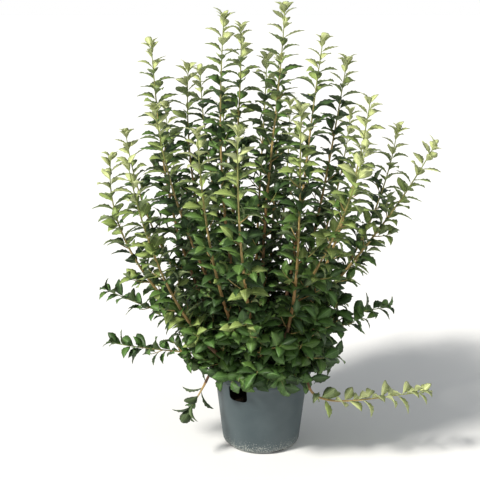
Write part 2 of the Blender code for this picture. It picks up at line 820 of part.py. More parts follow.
def joined_mass(index, limb, spaces, mat, rng):
    start = stem_start(limb)
    rings = ring_count(start, limb.length)
    radii = [limb.radius_at(place) for place in np.linspace(start, limb.length, rings)]
    stem = add_object("foliage_" + limb.name,
                      *tube_along(limb.path, start, limb.length, rings, radii, 3), mat)
    parts = bpy.data.collections.new("parts")
    bpy.context.scene.collection.children.link(parts)
    shapes = []
    for path in limb.sides:
        part = coarse(path, 0.0, arc_lengths(path)[-1])
        radii = np.linspace(SIDE_STEM_SHARE * limb.radius, STEM_TIP_RADIUS, len(part))
        shapes.append(tube(part, radii, 3))
    leaves = mass_leaves(index, limb, spaces, rng)
    shapes += [(points, LEAF_FACES) for points in leaves]
    for verts, faces in shapes:
        piece = add_object("piece", verts, faces, mat)
        bpy.context.scene.collection.objects.unlink(piece)
        parts.objects.link(piece)
    boolean(stem, parts, "UNION", "MANIFOLD")
    drop_scraps(stem.data)
    for piece in list(parts.objects):
        bpy.data.objects.remove(piece, do_unlink=True)
    bpy.data.collections.remove(parts)
    return stem, len(leaves)


def build_bough(limb):
    mat = material("bough_" + limb.name, BARK, 0.75)
    start = STUB_LENGTH + GAP
    if limb.elbow_path is not None:
        end = arc_lengths(limb.elbow_path)[-1] - GAP
        verts, faces = tube_along(limb.elbow_path, start, end, ELBOW_RINGS,
                                  (ELBOW_SWELL * limb.radius, limb.radius), BOUGH_SIDES)
    else:
        radii = (limb.radius_at(start), limb.radius_at(limb.bough_end))
        verts, faces = tube_along(limb.path, start, limb.bough_end, BOUGH_RINGS, radii,
                                  BOUGH_SIDES)
    add_object("bough_" + limb.name, verts, faces, mat, smooth=True)


def build_stool(limbs):
    """Short flared stem on the potting mix with a stub for every limb."""
    verts = []
    for height, radius, lobe in STOOL_RINGS:
        for side in range(STOOL_SIDES):
            turn = 2 * math.pi * side / STOOL_SIDES
            wave = 1 + lobe * math.cos(ROOT_LOBES * turn + LOBE_PHASE)
            wobble = 1 + BARK_WAVE * math.sin(3 * turn + 40 * height)
            reach = radius * wave * wobble
            lean = STOOL_LEAN * height
            verts.append((reach * math.cos(turn) + lean, reach * math.sin(turn),
                          MIX_TOP + GAP + height))
    rings = len(STOOL_RINGS)
    faces = [tuple(range(STOOL_SIDES - 1, -1, -1))]
    for ring in range(rings - 1):
        for side in range(STOOL_SIDES):
            after = (side + 1) % STOOL_SIDES
            low = ring * STOOL_SIDES
            high = low + STOOL_SIDES
            faces.append((low + side, low + after, high + after, high + side))
    faces.append(tuple(range((rings - 1) * STOOL_SIDES, rings * STOOL_SIDES)))
    mat = material("root_stool", BARK, 0.8)
    stool = add_object("root_stool", verts, faces, mat, smooth=False)
    parts = bpy.data.collections.new("stubs")
    bpy.context.scene.collection.children.link(parts)
    for limb in limbs:
        path = limb.path if limb.elbow_path is None else limb.elbow_path
        radii = (limb.radius * STUB_SWELL, limb.radius)
        sides = BOUGH_SIDES if limb.bough_end or limb.elbow_path is not None else 3
        piece = add_object("piece", *tube_along(path, 0.0, STUB_LENGTH, 3, radii, sides), mat)
        bpy.context.scene.collection.objects.unlink(piece)
        parts.objects.link(piece)
    boolean(stool, parts, "UNION", "MANIFOLD")
    for piece in list(parts.objects):
        bpy.data.objects.remove(piece, do_unlink=True)
    bpy.data.collections.remove(parts)


def main():
    clear_scene()
    build_pot()
    build_potting_mix(random.Random(11))
    limbs = all_limbs()
    build_side_stems(limbs)
    spaces = Spaces(limbs)
    build_stool(limbs)
    for limb in limbs:
        if limb.bough_end or limb.elbow_path is not None:
            build_bough(limb)
    leaves = 0
    for index, limb in enumerate(limbs):
        colour = GREEN_UPRIGHT if limb.kind == "cane" else GREEN_SKIRT
        if limb.name in YOUNG_SHOOTS:
            colour = GREEN_YOUNG
        leaves += build_mass(index, limb, spaces, colour)
    print("leaves", leaves)


main()
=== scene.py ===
"""Potted nanking cherry: a young shrub of many canes in a round nursery pot."""
import json
import math
import random

import bmesh
import bpy
import numpy as np
from mathutils import Matrix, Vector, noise

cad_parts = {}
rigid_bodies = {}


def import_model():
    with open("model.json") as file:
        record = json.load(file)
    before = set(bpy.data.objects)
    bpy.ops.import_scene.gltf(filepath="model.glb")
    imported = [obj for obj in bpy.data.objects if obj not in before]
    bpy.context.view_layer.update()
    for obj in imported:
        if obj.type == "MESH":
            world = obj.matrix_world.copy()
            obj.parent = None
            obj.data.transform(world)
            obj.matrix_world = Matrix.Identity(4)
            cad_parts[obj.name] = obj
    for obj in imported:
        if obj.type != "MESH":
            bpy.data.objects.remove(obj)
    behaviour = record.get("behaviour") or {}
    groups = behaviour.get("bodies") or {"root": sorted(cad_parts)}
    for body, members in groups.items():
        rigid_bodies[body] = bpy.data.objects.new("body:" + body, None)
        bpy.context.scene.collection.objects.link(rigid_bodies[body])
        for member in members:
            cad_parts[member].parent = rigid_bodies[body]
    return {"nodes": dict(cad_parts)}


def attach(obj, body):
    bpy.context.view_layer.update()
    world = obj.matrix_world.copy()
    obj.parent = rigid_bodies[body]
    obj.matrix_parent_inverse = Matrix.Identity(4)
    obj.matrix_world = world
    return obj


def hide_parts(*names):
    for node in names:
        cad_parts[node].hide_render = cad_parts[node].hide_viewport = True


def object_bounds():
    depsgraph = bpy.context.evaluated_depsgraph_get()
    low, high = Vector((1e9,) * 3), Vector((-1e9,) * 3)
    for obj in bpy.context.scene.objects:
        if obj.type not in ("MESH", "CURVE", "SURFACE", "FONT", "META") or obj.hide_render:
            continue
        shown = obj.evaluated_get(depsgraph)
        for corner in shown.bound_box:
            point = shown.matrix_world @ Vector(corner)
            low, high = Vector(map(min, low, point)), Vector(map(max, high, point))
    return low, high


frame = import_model()
cad_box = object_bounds()

# Nursery pot
# Injection-moulded grey-blue plastic, thin walled, with a turned-over lip, two hand grips
# cut through the wall under the lip and four drain notches in the rounded foot.
# It has stood outdoors, so its foot is speckled with dried dust and its wall is scuffed.
POT_SIDES = 160
POT_HEIGHT = 0.2235
RIM_RADIUS = 0.140
WALL_TOP_RADIUS = 0.1290
WALL_FOOT_RADIUS = 0.1055
WALL = 0.0022
WALL_ROWS = 12
FLOOR = 0.0028
FLOOR_RINGS = (0.040, 0.075)
INNER_FLOOR_RING = 0.05
FOOT_FILLET = 0.017
FILLET_STEPS = 9
LIP_HEIGHT = 0.016
LIP_ROUND = 0.003
LIP_STEPS = 5
STEP_ROOM = 0.010
# The stacking step under the lip: how far out from the wall, how far over the lip's foot
STACKING_STEP = ((-0.0004, -0.0105), (0.0012, -0.0085), (0.0014, 0.0))
# The lip's underside: how far in from the rim, how far over the lip's foot
LIP_UNDER = ((0.0030, 0.0002), (0.0012, 0.0010), (0.0006, 0.0028))
# The lip's inner edge: how far out from the wall's top, how far under the rim
LIP_INNER = ((0.0030, 0.0), (0.0008, 0.0005), (-0.0004, 0.0018))
GRIP_AZIMUTHS = (-31.5, 148.5)
GRIP_HALF_WIDTH = 0.0275
GRIP_LOW = 0.157
GRIP_HIGH = 0.2005
GRIP_CORNER = 0.012
GRIP_CUT = (0.100, 0.160)
DRAIN_AZIMUTHS = (26.0, 116.0, 206.0, 296.0)
DRAIN_HALF_WIDTH = 0.018
DRAIN_LOW = -0.010
DRAIN_HIGH = 0.009
DRAIN_CORNER = 0.005
DRAIN_CUT = (0.094, 0.130)
CREASE = math.radians(35)
POT_GREY = (0.052, 0.074, 0.082)
POT_GREY_WORN = (0.082, 0.108, 0.116)
DUST = (0.46, 0.47, 0.43)
DUST_FADE = (0.004, 0.070)


def on_ring(radius, degrees, z):
    """A point round the pot's axis: 0 degrees is the front, growing to the right."""
    turn = math.radians(degrees)
    return np.array([radius * math.sin(turn), -radius * math.cos(turn), z])


def new_object(name, data):
    """Object of some data, linked into the scene at the origin."""
    obj = bpy.data.objects.new(name, data)
    bpy.context.scene.collection.objects.link(obj)
    return obj


def mesh_object(name, verts, faces, smooth=True):
    """Mesh in its own place, with its faces turned outwards."""
    mesh = bpy.data.meshes.new(name)
    mesh.from_pydata([tuple(map(float, vert)) for vert in verts], [], faces)
    turned = bmesh.new()
    turned.from_mesh(mesh)
    bmesh.ops.recalc_face_normals(turned, faces=turned.faces)
    turned.to_mesh(mesh)
    turned.free()
    mesh.polygons.foreach_set("use_smooth", [smooth] * len(mesh.polygons))
    return new_object(name, mesh)


def settle(obj):
    """Makes what an object's modifiers give its own plain mesh."""
    graph = bpy.context.evaluated_depsgraph_get()
    mesh = bpy.data.meshes.new_from_object(obj.evaluated_get(graph))
    obj.modifiers.clear()
    old = obj.data
    obj.data = mesh
    bpy.data.meshes.remove(old)


def lathe(profile, sides, lift=None):
    """Closed body from a profile that starts and ends on the axis.

    Where lift is given, it takes a place's row and place, and gives how far to raise it."""
    verts = [(0.0, 0.0, profile[0][1])]
    for row, (radius, z) in enumerate(profile[1:-1]):
        for side in range(sides):
            spot = on_ring(radius, 360 * side / sides, z)
            if lift:
                spot[2] += lift(row, spot)
            verts.append(spot)
    verts.append((0.0, 0.0, profile[-1][1]))
    faces = []
    rows = len(profile) - 2
    for side in range(sides):
        after = (side + 1) % sides
        faces.append((0, 1 + after, 1 + side))
        for row in range(rows - 1):
            low = 1 + row * sides
            high = low + sides
            faces.append((low + side, low + after, high + after, high + side))
        last = 1 + (rows - 1) * sides
        faces.append((last + side, last + after, len(verts) - 1))
    return verts, faces


def wall_radius(z):
    return WALL_FOOT_RADIUS + (WALL_TOP_RADIUS - WALL_FOOT_RADIUS) * z / (POT_HEIGHT - LIP_HEIGHT)


def foot_arc(inset):
    """Rounded corner between underside and wall, moved in by the wall's thickness."""
    radius = FOOT_FILLET - inset
    centre = wall_radius(FOOT_FILLET) - FOOT_FILLET
    arc = []
    for step in range(FILLET_STEPS + 1):
        turn = math.pi / 2 * step / FILLET_STEPS
        arc.append((centre + radius * math.sin(turn), FOOT_FILLET - radius * math.cos(turn)))
    return arc


def pot_profile():
    """The pot's outline from the underside's middle, over the lip, to the floor's middle."""
    lip_low = POT_HEIGHT - LIP_HEIGHT
    rise = lip_low - STEP_ROOM - FOOT_FILLET
    rows = [FOOT_FILLET + rise * row / WALL_ROWS for row in range(1, WALL_ROWS)]
    profile = [(0.0, 0.0)] + [(radius, 0.0) for radius in FLOOR_RINGS] + foot_arc(0.0)
    profile += [(wall_radius(z), z) for z in rows]
    profile += [(wall_radius(lip_low) + out, lip_low + over) for out, over in STACKING_STEP]
    profile += [(RIM_RADIUS - inwards, lip_low + over) for inwards, over in LIP_UNDER]
    for step in range(LIP_STEPS + 1):
        turn = math.pi / 2 * step / LIP_STEPS
        profile.append((RIM_RADIUS - LIP_ROUND + LIP_ROUND * math.cos(turn),
                        POT_HEIGHT - LIP_ROUND + LIP_ROUND * math.sin(turn)))
    profile += [(WALL_TOP_RADIUS + out, POT_HEIGHT - under) for out, under in LIP_INNER]
    profile.append((wall_radius(lip_low) - WALL, lip_low - LIP_ROUND))
    profile += [(wall_radius(z) - WALL, z) for z in reversed(rows)]
    inner = foot_arc(WALL)
    profile += [(radius, max(z, FLOOR)) for radius, z in reversed(inner[1:])]
    return profile + [(inner[0][0], FLOOR), (INNER_FLOOR_RING, FLOOR), (0.0, FLOOR)]


def rounded_outline(half_width, low, high, corner, steps=8):
    outline = []
    for across, up, start in (
        (half_width - corner, low + corner, -90),
        (half_width - corner, high - corner, 0),
        (-half_width + corner, high - corner, 90),
        (-half_width + corner, low + corner, 180),
    ):
        for step in range(steps + 1):
            turn = math.radians(start + 90 * step / steps)
            outline.append((across + corner * math.cos(turn), up + corner * math.sin(turn)))
    return outline


def cut_through_wall(target, outline, azimuth, inner, outer):
    """Cuts an outline of (sideways, height) points outwards through the pot's wall."""
    turn = math.radians(azimuth)
    out = np.array([math.sin(turn), -math.cos(turn), 0.0])
    side = np.array([math.cos(turn), math.sin(turn), 0.0])
    verts = [out * reach + side * across + np.array([0, 0, z])
             for reach in (inner, outer) for across, z in outline]
    count = len(outline)
    faces = [tuple(range(count)), tuple(range(2 * count - 1, count - 1, -1))]
    faces += [(at, (at + 1) % count, count + (at + 1) % count, count + at)
              for at in range(count)]
    cutter = mesh_object("cutter", verts, faces)
    cut = target.modifiers.new("cut", "BOOLEAN")
    cut.operation = "DIFFERENCE"
    cut.solver = "EXACT"
    cut.object = cutter
    settle(target)
    bpy.data.objects.remove(cutter, do_unlink=True)


def add_node(tree, kind, inputs=None, **settings):
    """Adds a node. Its inputs are named or counted, and take a socket or a value."""
    made = tree.nodes.new(kind)
    for key, value in settings.items():
        setattr(made, key, value)
    for key, value in (inputs or {}).items():
        if isinstance(value, bpy.types.NodeSocket):
            tree.links.new(value, made.inputs[key])
        else:
            made.inputs[key].default_value = value
    return made


def maths(tree, operation, *values):
    made = add_node(tree, "ShaderNodeMath", dict(enumerate(values)), operation=operation)
    return made.outputs[0]


def ranged(tree, value, start=0.0, end=1.0, low=0.0, high=1.0):
    """Carries a value from one range to another, and holds it at the ends."""
    made = add_node(tree, "ShaderNodeMapRange",
                    {"Value": value, "From Min": start, "From Max": end, "To Min": low,
                     "To Max": high})
    return made.outputs["Result"]


def noise_at(tree, place, scale, detail, roughness=0.5):
    made = add_node(tree, "ShaderNodeTexNoise",
                    {"Vector": place, "Scale": scale, "Detail": detail,
                     "Roughness": roughness})
    return made.outputs["Fac"]


def object_place(tree):
    return add_node(tree, "ShaderNodeTexCoord").outputs["Object"]


def stretched(tree, place, scales):
    return add_node(tree, "ShaderNodeMapping", {"Vector": place, "Scale": scales}).outputs[0]


def new_material(name, roughness, specular):
    mat = bpy.data.materials.new(name)
    mat.use_nodes = True
    shader = mat.node_tree.nodes["Principled BSDF"]
    shader.inputs["Roughness"].default_value = roughness
    shader.inputs["Specular IOR Level"].default_value = specular
    return mat, mat.node_tree, shader


def mottle_group():
    """Broad and fine patches on any finish: a tone from 0 to 1 and a fine height."""
    group = bpy.data.node_groups.new("mottle", "ShaderNodeTree")
    for name, way in (("Broad scale", "INPUT"), ("Fine scale", "INPUT"), ("Tone", "OUTPUT"),
                      ("Height", "OUTPUT")):
        group.interface.new_socket(name, in_out=way, socket_type="NodeSocketFloat")
    given = add_node(group, "NodeGroupInput").outputs
    place = object_place(group)
    broad = noise_at(group, place, given["Broad scale"], detail=5.0)
    fine = noise_at(group, place, given["Fine scale"], detail=3.0)
    add_node(group, "NodeGroupOutput",
             {"Tone": ranged(group, broad, start=0.32, end=0.68), "Height": fine})
    return group


MOTTLE = mottle_group()


def mottle(tree, broad, fine):
    return add_node(tree, "ShaderNodeGroup", {"Broad scale": broad, "Fine scale": fine},
                    node_tree=MOTTLE).outputs


def mix_colours(tree, share, low, high):
    """Mixes two colours, each a socket or a plain colour."""
    made = add_node(tree, "ShaderNodeMix", data_type="RGBA")
    wanted = {"Factor_Float": share, "A_Color": low, "B_Color": high}
    for socket in made.inputs:
        if socket.identifier in wanted:
            value = wanted[socket.identifier]
            if isinstance(value, bpy.types.NodeSocket):
                tree.links.new(value, socket)
            elif isinstance(value, tuple):
                socket.default_value = (*value, 1.0)
            else:
                socket.default_value = value
    return next(out for out in made.outputs if out.identifier == "Result_Color")


def add_bump(tree, shader, height, depth, strength=0.6):
    bump = add_node(tree, "ShaderNodeBump",
                    {"Height": height, "Distance": depth, "Strength": strength})
    tree.links.new(bump.outputs["Normal"], shader.inputs["Normal"])


def pot_plastic():
    mat, tree, shader = new_material("pot_plastic", roughness=0.58, specular=0.4)
    place = object_place(tree)
    patches = mottle(tree, broad=9.0, fine=900.0)
    grey = mix_colours(tree, patches["Tone"], POT_GREY, POT_GREY_WORN)
    # scuffs run round the wall
    scuff = noise_at(tree, stretched(tree, place, (30, 30, 260)), scale=1.0, detail=4.0)
    scuffed = ranged(tree, scuff, start=0.60, end=0.78, high=0.35)
    grey = mix_colours(tree, scuffed, grey, POT_GREY_WORN)
    # dried dust in specks, thick at the foot and gone by a third of the way up
    height = add_node(tree, "ShaderNodeSeparateXYZ", {"Vector": place}).outputs["Z"]
    settled = ranged(tree, height, *DUST_FADE, low=0.24, high=-0.12)
    specks = noise_at(tree, place, scale=330.0, detail=4.0, roughness=0.62)
    dusty = ranged(tree, maths(tree, "ADD", specks, settled), start=0.66, end=0.80, high=0.85)
    colour = mix_colours(tree, dusty, grey, DUST)
    tree.links.new(colour, shader.inputs["Base Color"])
    tree.links.new(ranged(tree, dusty, low=0.52, high=0.9), shader.inputs["Roughness"])
    add_bump(tree, shader, patches["Height"], depth=0.0002)
    return mat


pot = mesh_object("pot_shell", *lathe(pot_profile(), POT_SIDES))
for azimuth in GRIP_AZIMUTHS:
    cut_through_wall(pot, rounded_outline(GRIP_HALF_WIDTH, GRIP_LOW, GRIP_HIGH, GRIP_CORNER),
                     azimuth, *GRIP_CUT)
for azimuth in DRAIN_AZIMUTHS:
    cut_through_wall(pot, rounded_outline(DRAIN_HALF_WIDTH, DRAIN_LOW, DRAIN_HIGH, DRAIN_CORNER),
                     azimuth, *DRAIN_CUT)
pot.data.polygons.foreach_set("use_smooth", [True] * len(pot.data.polygons))
pot.data.set_sharp_from_angle(angle=CREASE)
pot.data.materials.clear()
pot.data.materials.append(pot_plastic())
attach(pot, "root")
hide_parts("pot")

# Potting mix
# Dark peat and composted bark that fills the pot to just under the grips. Its top is
# lumpy, and loose crumbs of bark and a few pale grains of perlite lie on it.
MIX_TOP = 0.150
MIX_GAP = 0.0004
MIX_SIDES = 120
MIX_RINGS = 26
MIX_EDGE_DROP = 0.004
MIX_EDGE_GAP = 0.0003
MIX_EDGE_BEVEL = 0.002
MIX_FLAT_RADIUS = 0.060
MIX_SINK = 0.0002
LUMP_HEIGHT = 0.0030
LUMP_FADE = 0.02
LUMP_SCALE = 60
LUMP_SLICE = 3.0
# Fractal dimension, lacunarity and octaves of the noise that raises the lumps
LUMP_NOISE = (0.9, 2.0, 4)
CRUMB_SIZE = 0.0032
CRUMB_DENT = 0.25
CRUMB_DENT_SCALE = 900
CRUMB_SCALES = ((0.25, 0.25, 0.2), (1.5, 1.1, 0.7))
CRUMB_TURN = 6.28
CRUMB_SEED = 5
CRUMBS_PER_SQUARE_METRE = 42000
UPWARD = 0.5
PEAT = (0.020, 0.013, 0.009)
PEAT_DRY = (0.075, 0.050, 0.034)
PERLITE = (0.60, 0.58, 0.52)


def mix_profile():
    """The fill's outline, and the number of its rows before the top begins."""
    low = FLOOR + MIX_GAP
    profile = [(0.0, low)]
    profile += [(radius, max(z, low)) for radius, z in foot_arc(WALL + MIX_GAP)[1:]]
    edge_z = MIX_TOP - MIX_EDGE_DROP
    edge = wall_radius(edge_z) - WALL - MIX_GAP - MIX_EDGE_GAP
    profile.append((edge, edge_z))
    rims = len(profile)
    profile += [((edge - MIX_EDGE_BEVEL) * (1 - ring / MIX_RINGS), MIX_TOP)
                for ring in range(MIX_RINGS)]
    return profile + [(0.0, MIX_TOP)], rims


def lumps(row, spot):
    """How far a place on the mix is raised: not at all on its sides or under the stool."""
    if row < mix_rims - 1:
        return 0.0
    reach = math.hypot(spot[0], spot[1])
    share = min(max((reach - MIX_FLAT_RADIUS + LUMP_FADE / 2) / LUMP_FADE, 0.0), 1.0)
    place = (spot[0] * LUMP_SCALE, spot[1] * LUMP_SCALE, LUMP_SLICE)
    height = noise.fractal(place, *LUMP_NOISE)
    lump = max(min(height * LUMP_HEIGHT, 0.5 * LUMP_HEIGHT), -LUMP_HEIGHT)
    return share * lump - MIX_SINK


def peat():
    mat, tree, shader = new_material("potting_mix", roughness=0.95, specular=0.2)
    patches = mottle(tree, broad=240.0, fine=900.0)
    colour = mix_colours(tree, patches["Tone"], PEAT, PEAT_DRY)
    grains = add_node(tree, "ShaderNodeTexVoronoi",
                      {"Vector": object_place(tree), "Scale": 190.0}).outputs["Color"]
    pale = ranged(tree, grains, start=0.955, end=0.97)
    colour = mix_colours(tree, pale, colour, PERLITE)
    tree.links.new(colour, shader.inputs["Base Color"])
    add_bump(tree, shader, patches["Height"], depth=0.0012, strength=0.9)
    return mat


def crumb_object():
    """One dented crumb, kept out of the scene."""
    crumb = bmesh.new()
    bmesh.ops.create_icosphere(crumb, subdivisions=1, radius=CRUMB_SIZE / 2)
    for vert in crumb.verts:
        vert.co *= 1 + CRUMB_DENT * noise.noise(vert.co * CRUMB_DENT_SCALE)
    mesh = bpy.data.meshes.new("crumb")
    crumb.to_mesh(mesh)
    crumb.free()
    return bpy.data.objects.new("crumb", mesh)


def geometry_tree(name, wanted, result):
    """Empty tree of Geometry Nodes: the tree, its inputs' sockets, and what they give."""
    tree = bpy.data.node_groups.new(name, "GeometryNodeTree")
    sockets = {}
    for label, kind in wanted.items():
        sockets[label] = tree.interface.new_socket(label, in_out="INPUT",
                                                   socket_type="NodeSocket" + kind)
    tree.interface.new_socket(result, in_out="OUTPUT", socket_type="NodeSocketGeometry")
    return tree, sockets, add_node(tree, "NodeGroupInput").outputs


def end_tree(tree, geometry, result, *coats):
    """Makes instances real, sets each material where it belongs, and puts the result out."""
    done = add_node(tree, "GeometryNodeRealizeInstances", {"Geometry": geometry}).outputs[0]
    for material, where in coats:
        done = add_node(tree, "GeometryNodeSetMaterial",
                        {"Geometry": done, "Selection": where, "Material": material}).outputs[0]
    add_node(tree, "NodeGroupOutput", {result: done})


def crumb_tree():
    """Crumbs strewn on the upward faces of the mix."""
    tree, sockets, given = geometry_tree(
        "crumbs", {"Mix": "Geometry", "Crumb": "Object", "Per square metre": "Float",
                   "Seed": "Int", "Finish": "Material"}, "Crumbs")
    normal = add_node(tree, "GeometryNodeInputNormal").outputs["Normal"]
    up = add_node(tree, "ShaderNodeSeparateXYZ", {"Vector": normal}).outputs["Z"]
    upward = add_node(tree, "FunctionNodeCompare", {0: up, 1: UPWARD},
                      operation="GREATER_THAN").outputs["Result"]
    strewn = add_node(tree, "GeometryNodeDistributePointsOnFaces",
                      {"Mesh": given["Mix"], "Selection": upward,
                       "Density": given["Per square metre"], "Seed": given["Seed"]})
    least, most = CRUMB_SCALES
    turned = add_node(tree, "FunctionNodeRandomValue",
                      {"Max": (CRUMB_TURN,) * 3, "Seed": given["Seed"]},
                      data_type="FLOAT_VECTOR")
    sized = add_node(tree, "FunctionNodeRandomValue",
                     {"Min": least, "Max": most, "Seed": given["Seed"]},
                     data_type="FLOAT_VECTOR")
    crumb = add_node(tree, "GeometryNodeObjectInfo", {"Object": given["Crumb"]})
    placed = add_node(tree, "GeometryNodeInstanceOnPoints",
                      {"Points": strewn.outputs["Points"],
                       "Instance": crumb.outputs["Geometry"],
                       "Rotation": turned.outputs["Value"], "Scale": sized.outputs["Value"]})
    end_tree(tree, placed.outputs[0], "Crumbs", (given["Finish"], True))
    return tree, sockets


def grow(obj, tree, sockets, values):
    """Runs a tree of Geometry Nodes on an object and keeps the mesh that it makes."""
    mod = obj.modifiers.new(tree.name, "NODES")
    mod.node_group = tree
    for name, value in values.items():
        mod[sockets[name].identifier] = value
    settle(obj)
    bpy.data.node_groups.remove(tree)


mix_outline, mix_rims = mix_profile()
peat_finish = peat()
mix_body = mesh_object("potting_mix_fill", *lathe(mix_outline, MIX_SIDES, lumps))
mix_body.data.materials.append(peat_finish)
crumb_shape = crumb_object()
crumbs = new_object("bark_crumbs", mix_body.data.copy())
grow(crumbs, *crumb_tree(), {"Crumb": crumb_shape, "Per square metre": CRUMBS_PER_SQUARE_METRE,
                             "Seed": CRUMB_SEED, "Finish": peat_finish})
bpy.data.objects.remove(crumb_shape)
for piece in (mix_body, crumbs):
    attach(piece, "root")
    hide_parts("potting_mix")

# Root stool and boughs
# Every cane leaves one short woody stool that flares into root lobes on the mix. The
# lower part of a cane, with no leaves of its own, is a bough: brown bark with raised pores
# and fine cracks, swollen a little at each old leaf scar, tapering evenly.
GAP = 0.0003
STOOL_SIDES = 72
STOOL_RINGS = (
    # height over the mix, radius, depth of the root lobes
    (0.000, 0.047, 0.20),
    (0.006, 0.039, 0.16),
    (0.018, 0.032, 0.10),
    (0.036, 0.028, 0.05),
    (0.054, 0.026, 0.02),
    (0.064, 0.019, 0.0),
    (0.069, 0.009, 0.0),
)
STOOL_ROWS = 44
STOOL_LEAN = 0.05
ROOT_LOBES = 5
LOBE_PHASE = 0.6
BARK_WAVE = 0.03
BARK_WAVES = 3
BARK_TWIST = 40
CRACK_DEPTH = 0.05
CRACK_SCALE = 9
CRACK_SCALE_UP = 90
CRACK_NOISE = (0.8, 2.0, 4)
HEAD_Z = 0.205
HEAD_RADIUS = 0.020
STUB_LENGTH = 0.045
PULL = 0.36
CURVE_SAMPLES = 400
SAMPLE_STEP = 0.005
BOUGH_SHARE = 0.24
BOUGH_TAPER = 0.74
BOUGH_STEP = 0.0022
BOUGH_SIDES = 14
BARK_RELIEF = 0.0011
BARK_GRAIN = 420.0
CANE_RADIUS = 0.0062
STEM_TIP_RADIUS = 0.0011
STEM_TAPER = 0.8
SCAR_SPACING = 0.021
SCAR_SWELL = 0.10
SCAR_SHARE = 0.28
BARK_DARK = (0.052, 0.030, 0.018)
BARK_LIGHT = (0.190, 0.105, 0.055)
PORE = (0.34, 0.24, 0.15)

# Each cane: tip x, y, z, then degrees from upright where it leaves the stool and at the
# tip, the degrees it sets off to the side, and how pale its leaves are from 0 to 1. A paler
# cane has younger stems, a longer young tip, and more leaves in the painted light green and
# fewer in the painted shade green.
CANES = {
    "left_tall": (-0.288, 0.050, 1.079, 44, 4, 3, 0.30),
    "left_front": (-0.264, -0.150, 0.940, 28, 8, 4, 0.45),
    "left_inner": (-0.196, 0.100, 1.019, 30, -4, 2, 0.25),
    "centre_left": (-0.099, -0.020, 1.153, 15, -4, -1, 0.40),
    "centre_back": (-0.056, 0.120, 1.120, 49, 2, 4, 0.40),
    "front_left": (-0.157, -0.280, 0.898, 45, 6, 0, 0.55),
    "front_centre": (-0.063, -0.360, 0.912, 38, -8, 0, 0.40),
    "left_outer": (-0.388, -0.050, 0.804, 54, -8, 22, 0.80),
    "left_second": (-0.324, -0.220, 0.816, 69, 10, 15, 0.70),
    "tallest": (0.054, 0.000, 1.172, -8, 3, 1, 0.30),
    "centre_behind": (0.014, 0.160, 1.044, 23, 25, 17, 0.20),
    "right_inner": (0.148, -0.030, 1.095, 15, 8, 1, 0.40),
    "right_tall": (0.224, 0.100, 1.035, 26, 10, -1, 0.15),
    "right_mid": (0.264, -0.080, 0.949, 32, 7, -6, 0.75),
    "right_front": (0.229, -0.260, 0.858, 21, 13, -2, 0.80),
    "front_right": (0.084, -0.220, 0.944, 55, 1, 3, 0.55),
    "right_outer": (0.441, -0.020, 0.830, 32, 26, 3, 0.85),
    "back_left": (-0.270, 0.240, 0.900, 42, 6, 0, 0.30),
    "back_centre_left": (-0.110, 0.340, 0.930, 38, 5, -2, 0.30),
    "back_centre_right": (0.090, 0.360, 0.900, 43, 5, 0, 0.30),
    "back_right": (0.260, 0.290, 0.880, 44, 7, 1, 0.30),
    "right_behind": (0.370, 0.130, 0.850, 47, 8, 2, 0.35),
    "left_behind": (-0.370, 0.130, 0.840, 50, 7, -2, 0.35),
    "back_inner_right": (0.050, 0.250, 1.030, 24, 3, -1, 0.20),
    "back_inner_left": (-0.170, 0.240, 1.000, 26, 3, 0, 0.20),
}
CANES_WITHOUT_BOUGH = (
    "centre_behind", "back_left", "back_centre_left", "back_centre_right", "back_right",
    "right_behind", "left_behind", "back_inner_right", "back_inner_left",
)
# The leafy skirt round the pot's rim, by degrees round the plant
SKIRT = {
    "skirt_front": -92,
    "skirt_front_left": -138,
    "skirt_front_right": -50,
    "skirt_right": -8,
    "skirt_back_right": 42,
    "skirt_back": 90,
    "skirt_back_left": 138,
    "skirt_left": 182,
}
SKIRT_REACH = 0.21
SKIRT_TIP_Z = 0.41
SKIRT_TILTS = (62, 25)
SKIRT_RADIUS = 0.0042
# Low side shoots: tip x, y, z, the two tilts and the turn aside, as for a cane
LOW_SHOOTS = {
    "low_left_upper": (-0.409, -0.060, 0.454, 35, 62, 17),
    "low_left": (-0.389, -0.110, 0.325, 60, 72, -5),
    "low_right_upper": (0.326, -0.040, 0.398, 51, 81, 16),
}
LOW_RADIUS = 0.0036
# Two shoots hang over the rim: the elbow outside the pot, then the shoot's own tip
HANGING = {
    "low_right_long": ((0.1245, -0.1245, 0.205), (0.423, -0.140, 0.197)),
    "rim_sprig": ((-0.151, -0.0906, 0.205), (-0.190, -0.110, 0.140)),
}
ELBOW_TILTS = (82, 150)
ELBOW_PULL = 0.75
SHOOT_PULL = 0.25


def unit(vector):
    return vector / np.linalg.norm(vector)


def tilted(azimuth, degrees):
    """Unit direction so many degrees from upright, towards an azimuth from +X."""
    tilt = math.radians(degrees)
    return np.array([math.cos(azimuth) * math.sin(tilt), math.sin(azimuth) * math.sin(tilt),
                     math.cos(tilt)])


def arc_lengths(path):
    steps = np.linalg.norm(np.diff(path, axis=0), axis=1)
    return np.concatenate([[0.0], np.cumsum(steps)])


def at_length(places, along, wanted):
    """What a row of places or directions gives at one arc length or at many."""
    return np.stack([np.interp(wanted, along, places[:, k]) for k in range(3)], axis=-1)


def between(path, start, end, step=SAMPLE_STEP):
    """Part of a path from one arc length to another, in even steps."""
    wanted = np.linspace(start, end, max(int(round((end - start) / step)), 2) + 1)
    return at_length(path, arc_lengths(path), wanted)


def curve_between(start, start_way, end, end_way, pull=PULL):
    """Smooth path sampled at an even step."""
    reach = np.linalg.norm(end - start) * pull
    t = np.linspace(0, 1, CURVE_SAMPLES)[:, None]
    path = (1 - t) ** 3 * start + 3 * (1 - t) ** 2 * t * (start + reach * start_way)
    path += 3 * (1 - t) * t**2 * (end - reach * end_way) + t**3 * end
    return between(path, 0.0, arc_lengths(path)[-1])


def from_head(azimuth):
    return np.array([math.cos(azimuth) * HEAD_RADIUS, math.sin(azimuth) * HEAD_RADIUS, HEAD_Z])


